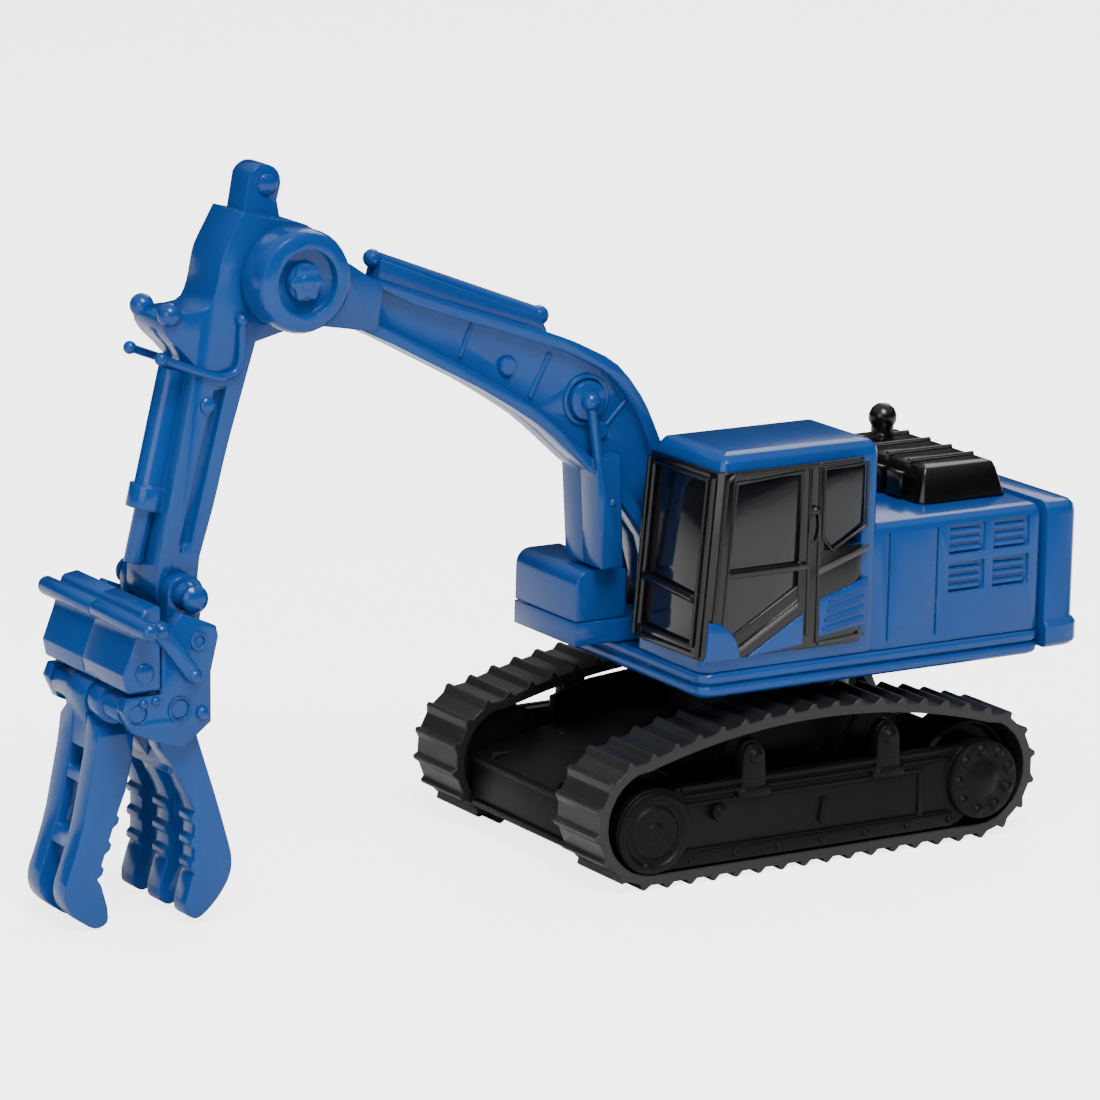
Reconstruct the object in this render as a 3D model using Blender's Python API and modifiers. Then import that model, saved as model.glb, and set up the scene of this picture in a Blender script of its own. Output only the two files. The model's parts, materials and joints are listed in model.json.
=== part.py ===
"""Pocket die-cast excavator with a fork grapple, built as separate pieces on real joints.

The pieces are modelled in millimetres under the root empty "machine", whose scale makes them metres.
+Z is up, the arm reaches along -Y, and the cab stands on the +X side. The world's origin is on the
ground, at the middle of the whole machine's box.
"""

import math

import bmesh
import bpy
from mathutils import Matrix, Vector

MILLIMETRE = 0.001

# ---------------------------------------------------------------- clearances
SEAT_GAP = 0.06          # between two pieces that are fixed to each other
PRESS_GAP = 0.04         # radial, round a pin or shaft that its piece holds fast
RUNNING_GAP = 0.08       # radial, round a shaft that turns
SIDE_GAP = 0.12          # between the faces of two pieces that move past each other
OVERLAP = 0.4            # how far two shapes of one piece run into each other
MERGE = 0.001            # points of one mesh this close are one point

# ---------------------------------------------------------------- undercarriage
WHEEL_SPACING = 30.0
WHEEL_RADIUS = 4.0
WHEEL_WIDTH = 3.6
AXLE_RADIUS = 0.8
BELT_THICKNESS = 0.75
BELT_SLACK = 0.16        # between a wheel and the belt round it
GROUSER_HEIGHT = 0.4
GROUSER_COUNT = 44
BELT_BOW = 2.1           # how far the upper run stands above the wheels
TRACK_WIDTH = 6.0
WIDTH_OVER_TRACKS = 26.8
BODY_BOTTOM = 2.05
BODY_FRONT_HEIGHT = 4.15
BODY_TOP = 8.9
TURNTABLE_RADIUS = 7.1
TURNTABLE_FLANGE = 1.2   # how far its top flange stands out, above the belts
FLANGE_THICKNESS = 0.45
BEAM_LENGTH = 19.0
BEAM_HEIGHT = 4.4
COVER_THICKNESS = 1.35
COVER_HEIGHT = 6.2
HUB_RADIUS = 3.1
IDLER_RADIUS = 3.3
STUB_SPACING = 12.4
STUB_WIDTH = 1.9
STUB_HEIGHT = 3.0

# ---------------------------------------------------------------- upper structure
SLEW_Y = 3.0             # slew axis, measured from the middle of the tracks
DECK_GAP = 0.65          # between the turntable's top and the deck's underside
DECK_THICKNESS = 1.9
DECK_WIDTH = 25.2
DECK_FRONT = 13.7        # deck edge, measured from the slew axis
DECK_REAR = 18.2
CAB_WIDTH = 9.5
CAB_LENGTH = 15.9
CAB_HEIGHT = 16.6
CAB_LEAN = 1.3           # how far the windscreen leans back
HOUSE_WIDTH = 24.8
HOUSE_HEIGHT = 10.0
HOUSE_WALL = 1.0
TANK_LENGTH = 12.4
COUNTERWEIGHT_LENGTH = 3.3
NOSE_LENGTH = 4.1
NOSE_WIDTH = 8.9
NOSE_HEIGHT = 1.9
TOOLBOX_LENGTH = 4.6
TOOLBOX_WIDTH = 9.0
TOOLBOX_HEIGHT = 4.0
HOOD_WIDTH = 15.0
HOOD_LENGTH = 8.4
HOOD_HEIGHT = 2.8
GLASS_THICKNESS = 0.6
FRAME_THICKNESS = 0.3    # the black frame on the cab's front and left side
VENT_LENGTH = 3.4
VENT_HEIGHT = 2.3
VENT_DEPTH = 0.3
VENT_PITCH = (4.2, 3.0)
SLEW_PIN_RADIUS = 2.4
SCREW_RADIUS = 0.8

# ---------------------------------------------------------------- boom, arm and grapple
BOOM_WIDTH = 4.3
BOOM_FOOT_Y = -8.5       # boom foot pin, measured from the slew axis
BOOM_FOOT_Z = 3.85       # and above the deck's top
BOOM_REACH = 35.5
BOOM_RISE = 27.4
KNEE_REACH = 8.95
KNEE_RISE = 15.6
BOOM_FOOT_RADIUS = 2.1
BRACKET_HALF_LENGTH = 1.7
BOOM_PIN_RADIUS = 0.9
WEB_DEPTH = 0.7
FLANGE = 1.0
DRUM_RADIUS = 3.85
DRUM_LENGTH = 3.3
DRUM_RECESS = 0.636 * DRUM_RADIUS
DRUM_RECESS_DEPTH = 0.8
RAM_WIDTH = 5.2          # the pair of boom rams, outside to outside
RAM_LENGTH = 8.5
RAM_DEPTH = 1.9
ARM_WIDTH = 4.6
ARM_PIN_RADIUS = 1.07
ARM_HEAD_RADIUS = 4.0
ARM_REACH = 8.8          # from the arm pin to the head pin, forward
ARM_DROP = 22.6          # and down
ARM_END_RADIUS = 1.7
HORN_WIDTH = 2.6
ARM_RAM_RADIUS = 1.15
HEAD_PIN_RADIUS = 0.75
HEAD_WIDTH = 12.6
PLATE_THICKNESS = 1.0
JAW_PIN_RADIUS = 0.7
FRONT_JAW_FORWARD = 5.2  # front jaw's pin, measured from the head pin
REAR_JAW_FORWARD = 1.8
JAW_PIN_DROP = 7.7
TINE_WIDTH = 1.9
TINE_PITCH = 4.15        # between two tines of the rear jaw
FRONT_JAW_LENGTH = 16.7  # from the jaw's pin to its tips, downward
REAR_JAW_LENGTH = 16.4

# ---------------------------------------------------------------- levels and places worked out from these
WHEEL_Z = GROUSER_HEIGHT + BELT_THICKNESS + BELT_SLACK + WHEEL_RADIUS
HALF_SPACING = WHEEL_SPACING / 2
TRACK_OUTSIDE = WIDTH_OVER_TRACKS / 2
TRACK_INSIDE = TRACK_OUTSIDE - TRACK_WIDTH
COVER_OUTSIDE = TRACK_OUTSIDE
COVER_INSIDE = COVER_OUTSIDE - COVER_THICKNESS
WHEEL_INSIDE = (TRACK_INSIDE + COVER_INSIDE - WHEEL_WIDTH) / 2
BELT_TOP = WHEEL_Z + WHEEL_RADIUS + BELT_SLACK + BELT_BOW + BELT_THICKNESS + GROUSER_HEIGHT
TURNTABLE_TOP = BELT_TOP + 0.2 + FLANGE_THICKNESS
DECK_BOTTOM = TURNTABLE_TOP + DECK_GAP
DECK_TOP = DECK_BOTTOM + DECK_THICKNESS
SHELL_BOTTOM = DECK_TOP + SEAT_GAP
HOUSE_TOP = SHELL_BOTTOM + HOUSE_HEIGHT
CAB_TOP = SHELL_BOTTOM + CAB_HEIGHT
DECK_FRONT_Y = SLEW_Y - DECK_FRONT
DECK_REAR_Y = SLEW_Y + DECK_REAR
CAB_LEFT = HOUSE_WIDTH / 2
CAB_RIGHT = CAB_LEFT - CAB_WIDTH
CAB_FRONT_Y = DECK_FRONT_Y + 0.2
CAB_REAR_Y = CAB_FRONT_Y + CAB_LENGTH
TANK_FRONT_Y = CAB_REAR_Y - TANK_LENGTH
TANK_LEFT = -HOUSE_WIDTH / 2 + 8.4
NOSE_FRONT_Y = DECK_FRONT_Y - NOSE_LENGTH
NOSE_LEFT = 1.3
NOSE_TOP = SHELL_BOTTOM + NOSE_HEIGHT
HOOD_LEFT = CAB_LEFT - 3.4
HOOD_REAR_Y = DECK_REAR_Y - 1.2
HALF_BOOM = BOOM_WIDTH / 2
HALF_ARM = ARM_WIDTH / 2
DRUM_INSIDE = HALF_ARM + SIDE_GAP
DRUM_OUTSIDE = DRUM_INSIDE + DRUM_LENGTH
PLATE_OUTSIDE = HEAD_WIDTH / 2
PLATE_INSIDE = PLATE_OUTSIDE - PLATE_THICKNESS

FOOT = Vector((0, SLEW_Y + BOOM_FOOT_Y, DECK_TOP + BOOM_FOOT_Z))
KNEE = FOOT + Vector((0, -KNEE_REACH, KNEE_RISE))
TIP = FOOT + Vector((0, -BOOM_REACH, BOOM_RISE))
HEAD = TIP + Vector((0, -ARM_REACH, -ARM_DROP))
FRONT_JAW = HEAD + Vector((0, -FRONT_JAW_FORWARD, -JAW_PIN_DROP))
REAR_JAW = HEAD + Vector((0, -REAR_JAW_FORWARD, -JAW_PIN_DROP))
SLEW = Vector((0, SLEW_Y, DECK_BOTTOM))

# The front screw stands just outside the turntable's flange, the rear one inside the counterweight.
SCREW_REACH = TURNTABLE_RADIUS + TURNTABLE_FLANGE + 2.33
SCREWS = ((-math.sqrt(SCREW_REACH ** 2 - 7.0 ** 2), SLEW_Y - 7.0), (0.0, DECK_REAR_Y - 2.4))

FRONT_AXLE = Vector((0, -HALF_SPACING, WHEEL_Z))
REAR_AXLE = Vector((0, HALF_SPACING, WHEEL_Z))

# The whole machine's box runs from the front jaw's bulge to the counterweight's lip.
JAW_BULGE = 4.2          # how far the front jaw bulges in front of its pin
LIP = 0.35
FRONT_Y = FRONT_JAW.y - JAW_BULGE
REAR_Y = DECK_REAR_Y + SEAT_GAP + COUNTERWEIGHT_LENGTH + LIP
MIDDLE_Y = (FRONT_Y + REAR_Y) / 2


# ---------------------------------------------------------------- scene, collections and materials
for old in list(bpy.data.objects):
    bpy.data.objects.remove(old, do_unlink=True)

parts = bpy.data.collections.new("toy_excavator")
cutters = bpy.data.collections.new("cutters")
for collection in (parts, cutters):
    bpy.context.scene.collection.children.link(collection)
cutters.hide_render = True


def principled(name, color, roughness, metallic=0.0):
    material = bpy.data.materials.new(name)
    material.use_nodes = True
    shader = material.node_tree.nodes["Principled BSDF"]
    shader.inputs["Base Color"].default_value = (*color, 1.0)
    shader.inputs["Roughness"].default_value = roughness
    shader.inputs["Metallic"].default_value = metallic
    material.diffuse_color = (*color, 1.0)
    return material


BLUE_PAINT = principled("blue_paint", (0.012, 0.085, 0.32), 0.3)
BLACK_PLASTIC = principled("black_plastic", (0.008, 0.008, 0.009), 0.5)
BLACK_RUBBER = principled("black_rubber", (0.012, 0.012, 0.013), 0.75)
SMOKE_GLAZING = principled("smoke_glazing", (0.02, 0.02, 0.024), 0.1)
BLACK_GLOSS = principled("black_gloss", (0.01, 0.01, 0.011), 0.25)
STEEL = principled("steel", (0.55, 0.55, 0.56), 0.35, 1.0)


machine = bpy.data.objects.new("machine", None)
machine.location = (0, -MIDDLE_Y * MILLIMETRE, 0)
machine.scale = (MILLIMETRE, MILLIMETRE, MILLIMETRE)
parts.objects.link(machine)

# Where each empty stands on the machine.
PLACE = {machine: Vector()}


def pivot(name, at, parent):
    """An empty on a joint's axis, which carries the pieces of one moving body."""
    empty = bpy.data.objects.new(name, None)
    empty.empty_display_size = 2
    empty.parent = parent
    empty.location = at - PLACE[parent]
    parts.objects.link(empty)
    PLACE[empty] = at
    return empty


# ---------------------------------------------------------------- shapes
def finish_mesh(name, mesh):
    mesh.shade_smooth()
    mesh.set_sharp_from_angle(angle=math.radians(35))
    shape = bpy.data.objects.new(name, mesh)
    cutters.objects.link(shape)
    shape.hide_render = True
    shape.display_type = "WIRE"
    return shape


def from_bmesh(name, bm):
    bmesh.ops.recalc_face_normals(bm, faces=bm.faces)
    mesh = bpy.data.meshes.new(name)
    bm.to_mesh(mesh)
    bm.free()
    return finish_mesh(name, mesh)


def block(name, low, high):
    """A box between two corners."""
    bm = bmesh.new()
    bmesh.ops.create_cube(bm, size=1.0)
    size = Vector(high) - Vector(low)
    bmesh.ops.scale(bm, vec=size, verts=bm.verts)
    bmesh.ops.translate(bm, vec=(Vector(low) + Vector(high)) / 2, verts=bm.verts)
    return from_bmesh(name, bm)


def rod(name, start, end, radius, end_radius=None, sides=20):
    """A cylinder or cone from one point to another."""
    start, end = Vector(start), Vector(end)
    bm = bmesh.new()
    bmesh.ops.create_cone(
        bm, cap_ends=True, segments=sides, radius1=radius,
        radius2=radius if end_radius is None else end_radius, depth=(end - start).length)
    turn = Vector((0, 0, 1)).rotation_difference(end - start).to_matrix().to_4x4()
    bmesh.ops.transform(bm, matrix=Matrix.Translation((start + end) / 2) @ turn, verts=bm.verts)
    return from_bmesh(name, bm)


def ball(name, centre, radius, sides=14):
    bm = bmesh.new()
    bmesh.ops.create_uvsphere(bm, u_segments=sides, v_segments=sides // 2, radius=radius)
    bmesh.ops.translate(bm, vec=centre, verts=bm.verts)
    return from_bmesh(name, bm)


def arc(centre, radius, start, end, steps):
    """Points on a circle in the side view, from one angle to another in degrees, as (y, z)."""
    turns = [math.radians(start + (end - start) * i / steps) for i in range(steps + 1)]
    return [(centre[0] + radius * math.cos(t), centre[1] + radius * math.sin(t)) for t in turns]


def smooth(points, steps=3):
    """A rounded line through side-view points, for the curved runs of a casting's outline."""
    points = [Vector(point) for point in points]
    ends = [points[0] * 2 - points[1]] + points + [points[-1] * 2 - points[-2]]
    line = []
    for a, b, c, d in zip(ends, ends[1:], ends[2:], ends[3:]):
        for i in range(steps):
            t = i / steps
            bend = (a * 2 - b * 5 + c * 4 - d) * t ** 2 + (b * 3 - a - c * 3 + d) * t ** 3
            line.append(tuple((b * 2 + (c - a) * t + bend) / 2))
    return line + [tuple(points[-1])]


def plate(name, outlines, low_x, high_x):
    """Flat outlines in the side view, given as (y, z), extruded along X. A second one is a hole."""
    curve = bpy.data.curves.new(name, "CURVE")
    curve.dimensions = "2D"
    curve.fill_mode = "BOTH"
    curve.extrude = (high_x - low_x) / 2
    for outline in outlines:
        spline = curve.splines.new("POLY")
        spline.points.add(len(outline) - 1)
        for point, (y, z) in zip(spline.points, outline):
            point.co = (y, z, 0, 1)
        spline.use_cyclic_u = True
    guide = bpy.data.objects.new(name + "_outline", curve)
    # The curve's own X, Y and Z become the machine's Y, Z and X.
    middle = (low_x + high_x) / 2
    guide.matrix_world = Matrix(((0, 0, 1, middle), (1, 0, 0, 0), (0, 1, 0, 0), (0, 0, 0, 1)))
    cutters.objects.link(guide)
    graph = bpy.context.evaluated_depsgraph_get()
    mesh = bpy.data.meshes.new_from_object(guide.evaluated_get(graph))
    mesh.transform(guide.matrix_world)
    mesh.name = name
    bpy.data.objects.remove(guide, do_unlink=True)
    bm = bmesh.new()
    bm.from_mesh(mesh)
    bmesh.ops.remove_doubles(bm, verts=bm.verts, dist=MERGE)
    bmesh.ops.recalc_face_normals(bm, faces=bm.faces)
    bm.to_mesh(mesh)
    bm.free()
    return finish_mesh(name, mesh)


def tiers(name, low, high, corner, levels, steps=3):
    """A rounded box lofted through levels of (height, inset on all sides, extra inset at the front)."""
    bm = bmesh.new()
    rings = []
    for height, inset, front in levels:
        ring = []
        x0, x1 = low[0] + inset, high[0] - inset
        y0, y1 = low[1] + inset + front, high[1] - inset
        radius = max(corner - inset, 0.1)
        centres = ((x1 - radius, y1 - radius, 0), (x0 + radius, y1 - radius, 90),
                   (x0 + radius, y0 + radius, 180), (x1 - radius, y0 + radius, 270))
        for cx, cy, start in centres:
            for x, y in arc((cx, cy), radius, start, start + 90, steps):
                ring.append(bm.verts.new((x, y, height)))
        rings.append(ring)
    for lower, upper in zip(rings, rings[1:]):
        for i, vert in enumerate(lower):
            j = (i + 1) % len(lower)
            bm.faces.new((vert, lower[j], upper[j], upper[i]))
    bm.faces.new(list(reversed(rings[0])))
    bm.faces.new(rings[-1])
    return from_bmesh(name, bm)


def rounded_top(bottom, top, edge, lean=0.0):
    """Levels for tiers() whose top edge is rounded, and whose front leans back on the way up."""
    levels = [(bottom, 0.0, 0.0)]
    for turn in (0, 30, 60, 90):
        angle = math.radians(turn)
        levels.append((top - edge + edge * math.sin(angle), edge * (1 - math.cos(angle)), lean))
    return levels


def turned(name, profile, sides=32):
    """A profile of (radius, x), outer side from +x to -x, turned round the X axis."""
    bm = bmesh.new()
    verts = [bm.verts.new((radius, 0, x)) for radius, x in profile]
    for i, vert in enumerate(verts):
        bm.edges.new((vert, verts[(i + 1) % len(verts)]))
    mesh = bpy.data.meshes.new(name)
    bm.to_mesh(mesh)
    bm.free()
    lathe = bpy.data.objects.new(name, mesh)
    screw = lathe.modifiers.new("turn", "SCREW")
    screw.steps = screw.render_steps = sides
    screw.use_merge_vertices = True
    screw.merge_threshold = 0.0001
    cutters.objects.link(lathe)
    graph = bpy.context.evaluated_depsgraph_get()
    mesh = bpy.data.meshes.new_from_object(lathe.evaluated_get(graph))
    bpy.data.objects.remove(lathe, do_unlink=True)
    mesh.transform(Matrix.Rotation(math.radians(90), 4, "Y"))
    bm = bmesh.new()
    bm.from_mesh(mesh)
    bmesh.ops.remove_doubles(bm, verts=bm.verts, dist=MERGE)
    bmesh.ops.recalc_face_normals(bm, faces=bm.faces)
    bm.to_mesh(mesh)
    bm.free()
    return finish_mesh(name, mesh)


def moved(shape, by):
    shape.data.transform(Matrix.Translation(by))
    return shape


def boolean(shape, others, operation):
    for other in others:
        other.parent = shape
        modifier = shape.modifiers.new(operation.lower(), "BOOLEAN")
        modifier.operation = operation
        modifier.object = other


def join(shape, *others):
    boolean(shape, others, "UNION")
    return shape


def cut(shape, *others):
    boolean(shape, others, "DIFFERENCE")
    return shape


def soften(shape, width, angle=40):
    bevel = shape.modifiers.new("softened_edges", "BEVEL")
    bevel.width = width
    bevel.segments = 1
    bevel.limit_method = "ANGLE"
    bevel.angle_limit = math.radians(angle)
    return shape


def piece(shape, material, body):
    """Makes a shape a visible piece of a body."""
    shape.data.materials.clear()
    shape.data.materials.append(material)
    cutters.objects.unlink(shape)
    parts.objects.link(shape)
    shape.hide_render = False
    shape.display_type = "TEXTURED"
    shape.parent = body
    shape.location = -PLACE[body]
    return shape


def spread(low, high):
    """The same stretch of X on the left side and mirrored on the right side."""
    return ((1, low, high), (-1, -high, -low))


# ---------------------------------------------------------------- undercarriage
def belt_path(radius, steps):
    """A belt's path at this distance from the axles: flat below, round at both ends, bowed on top."""
    # The bowed top is one large circle that touches both end circles.
    rise = radius + BELT_BOW
    drop = (HALF_SPACING ** 2 + radius ** 2 - rise ** 2) / (2 * (rise - radius))
    large = rise + drop
    tangent = math.degrees(math.atan2(HALF_SPACING, drop))
    points = arc((HALF_SPACING, WHEEL_Z), radius, -90, 90 - tangent, steps)
    points += arc((0, WHEEL_Z - drop), large, 90 - tangent, 90 + tangent, steps)[1:-1]
    points += arc((-HALF_SPACING, WHEEL_Z), radius, 90 + tangent, 270, steps)
    return [Vector(point) for point in points]


def make_track(name, low_x, high_x):
    """A belt with saw-tooth grousers, lofted as matching rings of points on its two faces."""
    path = belt_path(WHEEL_RADIUS + BELT_SLACK + BELT_THICKNESS, 60)
    lengths = [0.0]
    for here, there in zip(path, path[1:] + path[:1]):
        lengths.append(lengths[-1] + (there - here).length)
    path.append(path[0])

    def at(distance, lift):
        distance %= lengths[-1]
        i = max(k for k, length in enumerate(lengths[:-1]) if length <= distance)
        step = (path[i + 1] - path[i]).normalized()
        point = path[i] + step * (distance - lengths[i]) + Vector((step.y, -step.x)) * lift
        return point.x, point.y

    bm = bmesh.new()
    pitch = lengths[-1] / GROUSER_COUNT
    stations = []
    for k in range(GROUSER_COUNT):
        # Each grouser is a saw tooth: a steep face, a narrow top and a sloping back.
        for share, lift in ((0.0, 0.0), (0.08, GROUSER_HEIGHT), (0.2, GROUSER_HEIGHT), (0.42, 0.0)):
            distance = (k + share) * pitch
            places = {"outer": at(distance, lift)}
            if not lift:
                places["inner"] = at(distance, -BELT_THICKNESS)
            stations.append({key: [bm.verts.new((x, *place)) for x in (low_x, high_x)]
                             for key, place in places.items()})
    for k in range(GROUSER_COUNT):
        foot, rise, crest, heel = stations[4 * k:4 * k + 4]
        following = stations[(4 * k + 4) % len(stations)]
        outline = (foot, rise, crest, heel, following)
        for here, there in zip(outline, outline[1:]):
            bm.faces.new((here["outer"][0], there["outer"][0], there["outer"][1], here["outer"][1]))
        for here, there in ((foot, heel), (heel, following)):
            bm.faces.new((here["inner"][0], there["inner"][0], there["inner"][1], here["inner"][1]))
            for side in (0, 1):
                bm.faces.new((here["inner"][side], there["inner"][side], there["outer"][side], here["outer"][side]))
        for side in (0, 1):
            bm.faces.new([station["outer"][side] for station in (foot, rise, crest, heel)])
    piece(from_bmesh(name, bm), BLACK_RUBBER, machine)


def make_tracks():
    make_track("left_track", TRACK_INSIDE, TRACK_OUTSIDE)
    make_track("right_track", -TRACK_OUTSIDE, -TRACK_INSIDE)


def make_frame():
    front = HALF_SPACING + 3.7
    side_view = [(-front, BODY_BOTTOM), (-front, BODY_BOTTOM + BODY_FRONT_HEIGHT), (SLEW_Y - 9.5, BODY_TOP),
                 (SLEW_Y + 9.5, BODY_TOP), (front, BODY_BOTTOM + BODY_FRONT_HEIGHT), (front, BODY_BOTTOM)]
    half_width = TRACK_INSIDE - 0.4
    frame = plate("undercarriage_frame", [side_view], -half_width, half_width)
    beam_end = COVER_INSIDE - SEAT_GAP
    beam = block("track_beams", (-beam_end, -BEAM_LENGTH / 2, BODY_BOTTOM + 0.4),
                 (beam_end, BEAM_LENGTH / 2, BODY_BOTTOM + 0.4 + BEAM_HEIGHT))
    ring = rod("turntable", (0, SLEW_Y, BODY_TOP - OVERLAP), (0, SLEW_Y, TURNTABLE_TOP - 0.05), TURNTABLE_RADIUS, sides=48)
    flange = rod("turntable_flange", (0, SLEW_Y, TURNTABLE_TOP - FLANGE_THICKNESS), (0, SLEW_Y, TURNTABLE_TOP),
                 TURNTABLE_RADIUS + TURNTABLE_FLANGE, sides=48)
    join(frame, beam, ring, flange)
    for name, axle in (("front_axle_bore", FRONT_AXLE), ("rear_axle_bore", REAR_AXLE)):
        reach = Vector((half_width + 1, 0, 0))
        cut(frame, rod(name, axle - reach, axle + reach, AXLE_RADIUS + RUNNING_GAP))
    cut(frame, rod("slew_bore", (0, SLEW_Y, BODY_TOP), (0, SLEW_Y, TURNTABLE_TOP + 1), SLEW_PIN_RADIUS + PRESS_GAP))
    piece(frame, BLACK_PLASTIC, machine)
    # A headed pin holds the deck down on the turntable and stays with the undercarriage.
    pin = rod("slew_pin", (0, SLEW_Y, BODY_TOP + 0.3), (0, SLEW_Y, DECK_TOP + 0.5), SLEW_PIN_RADIUS)
    head = rod("slew_pin_head", (0, SLEW_Y, DECK_TOP + SIDE_GAP), (0, SLEW_Y, DECK_TOP + 0.9), 3.6, 3.2, sides=28)
    piece(join(pin, head), STEEL, machine)


def make_covers():
    """The moulded side frames: rail, panel, idler and hub discs, and two carrier rollers."""
    bottom = GROUSER_HEIGHT + BELT_THICKNESS + 0.2
    top = bottom + COVER_HEIGHT
    for side, low, high in spread(COVER_INSIDE, COVER_OUTSIDE - 0.25):
        name = "left_side_frame" if side > 0 else "right_side_frame"
        outline = [(-HALF_SPACING, bottom), (HALF_SPACING - 2, bottom), (HALF_SPACING, bottom + 1.5),
                   (HALF_SPACING, top), (-HALF_SPACING + 2.2, top), (-HALF_SPACING, top - 1.4)]
        cover = plate(name, [outline], low, high)
        inner, outer = (low, high) if side > 0 else (high, low)
        discs = ((-HALF_SPACING, WHEEL_Z - 0.75, IDLER_RADIUS, 0.0), (HALF_SPACING, WHEEL_Z - 0.45, HUB_RADIUS, 0.6))
        for i, (y, z, radius, proud) in enumerate(discs):
            join(cover, rod(f"{name}_disc_{i}", (inner + side * 0.1, y, z), (outer + side * (0.1 + proud), y, z), radius,
                            sides=32))
        for i, y in enumerate((-STUB_SPACING / 2, STUB_SPACING / 2)):
            shape = [(y - STUB_WIDTH / 2, top - 1.0), (y + STUB_WIDTH / 2, top - 1.0)]
            shape += arc((y, top + STUB_HEIGHT - STUB_WIDTH / 2), STUB_WIDTH / 2, 0, 180, 8)
            join(cover, plate(f"{name}_stub_{i}", [shape], min(inner, outer) + 0.15, max(inner, outer) - 0.15))
        rail_x = sorted((outer - side * 0.3, outer + side * 0.25))
        join(cover, block(f"{name}_rail", (rail_x[0], -HALF_SPACING + 0.3, bottom + 0.05),
                          (rail_x[1], HALF_SPACING - 2.6, bottom + 1.1)))
        piece(cover, BLACK_PLASTIC, machine)


def make_wheels(place, centre, body):
    axle_end = WHEEL_INSIDE + WHEEL_WIDTH - 0.2
    piece(rod(f"{place}_axle", centre - Vector((axle_end, 0, 0)), centre + Vector((axle_end, 0, 0)), AXLE_RADIUS),
          STEEL, body)
    bore = AXLE_RADIUS + PRESS_GAP
    edge = 0.3
    profile = [(bore, WHEEL_WIDTH), (1.9, WHEEL_WIDTH), (2.2, WHEEL_WIDTH - 0.7), (3.3, WHEEL_WIDTH - 0.7),
               (3.5, WHEEL_WIDTH), (WHEEL_RADIUS - edge, WHEEL_WIDTH), (WHEEL_RADIUS, WHEEL_WIDTH - edge),
               (WHEEL_RADIUS, edge), (WHEEL_RADIUS - edge, 0), (bore, 0)]
    for side in (1, -1):
        wheel = turned(f"{place}_{'left' if side > 0 else 'right'}_wheel", profile)
        if side < 0:
            wheel.data.transform(Matrix.Rotation(math.pi, 4, "Z"))
        moved(wheel, centre + Vector((side * WHEEL_INSIDE, 0, 0)))
        piece(wheel, BLACK_PLASTIC, body)


# ---------------------------------------------------------------- upper structure
def make_deck():
    groove = 0.35
    middle = (DECK_BOTTOM + DECK_TOP) / 2
    levels = [(DECK_BOTTOM, 0.25, 0), (DECK_BOTTOM + 0.25, 0, 0), (middle - 0.2, 0, 0), (middle, groove, 0),
              (middle + 0.2, 0, 0), (DECK_TOP - 0.25, 0, 0), (DECK_TOP, 0.25, 0)]
    deck = tiers("deck_base", (-DECK_WIDTH / 2, DECK_FRONT_Y), (DECK_WIDTH / 2, DECK_REAR_Y), 1.4, levels)
    boss = rod("deck_boss", (0, SLEW_Y, TURNTABLE_TOP + SIDE_GAP), (0, SLEW_Y, DECK_BOTTOM + OVERLAP),
               TURNTABLE_RADIUS - 1.2, sides=40)
    hole = rod("deck_hole", (0, SLEW_Y, TURNTABLE_TOP - 1), (0, SLEW_Y, DECK_TOP + 1), SLEW_PIN_RADIUS + RUNNING_GAP)
    cut(join(deck, boss), hole)
    for i, (x, y) in enumerate(SCREWS):
        cut(deck, rod(f"deck_screw_hole_{i}", (x, y, DECK_BOTTOM - 1), (x, y, DECK_TOP + 1), SCREW_RADIUS + PRESS_GAP))
    piece(deck, BLUE_PAINT, upper)


def make_screws():
    """Two screws come up through the deck into posts inside the shell."""
    for name, (x, y) in zip(("front_base_screw", "rear_base_screw"), SCREWS):
        shank = rod(name, (x, y, DECK_BOTTOM - 0.3), (x, y, DECK_TOP + 3.5), SCREW_RADIUS)
        head = rod(name + "_head", (x, y, DECK_BOTTOM - 0.75), (x, y, DECK_BOTTOM - SEAT_GAP), 1.2, 1.5)
        slot = block(name + "_slot", (x - 2, y - 0.15, DECK_BOTTOM - 1), (x + 2, y + 0.15, DECK_BOTTOM - 0.5))
        piece(cut(join(shank, head), slot), STEEL, upper)


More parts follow.
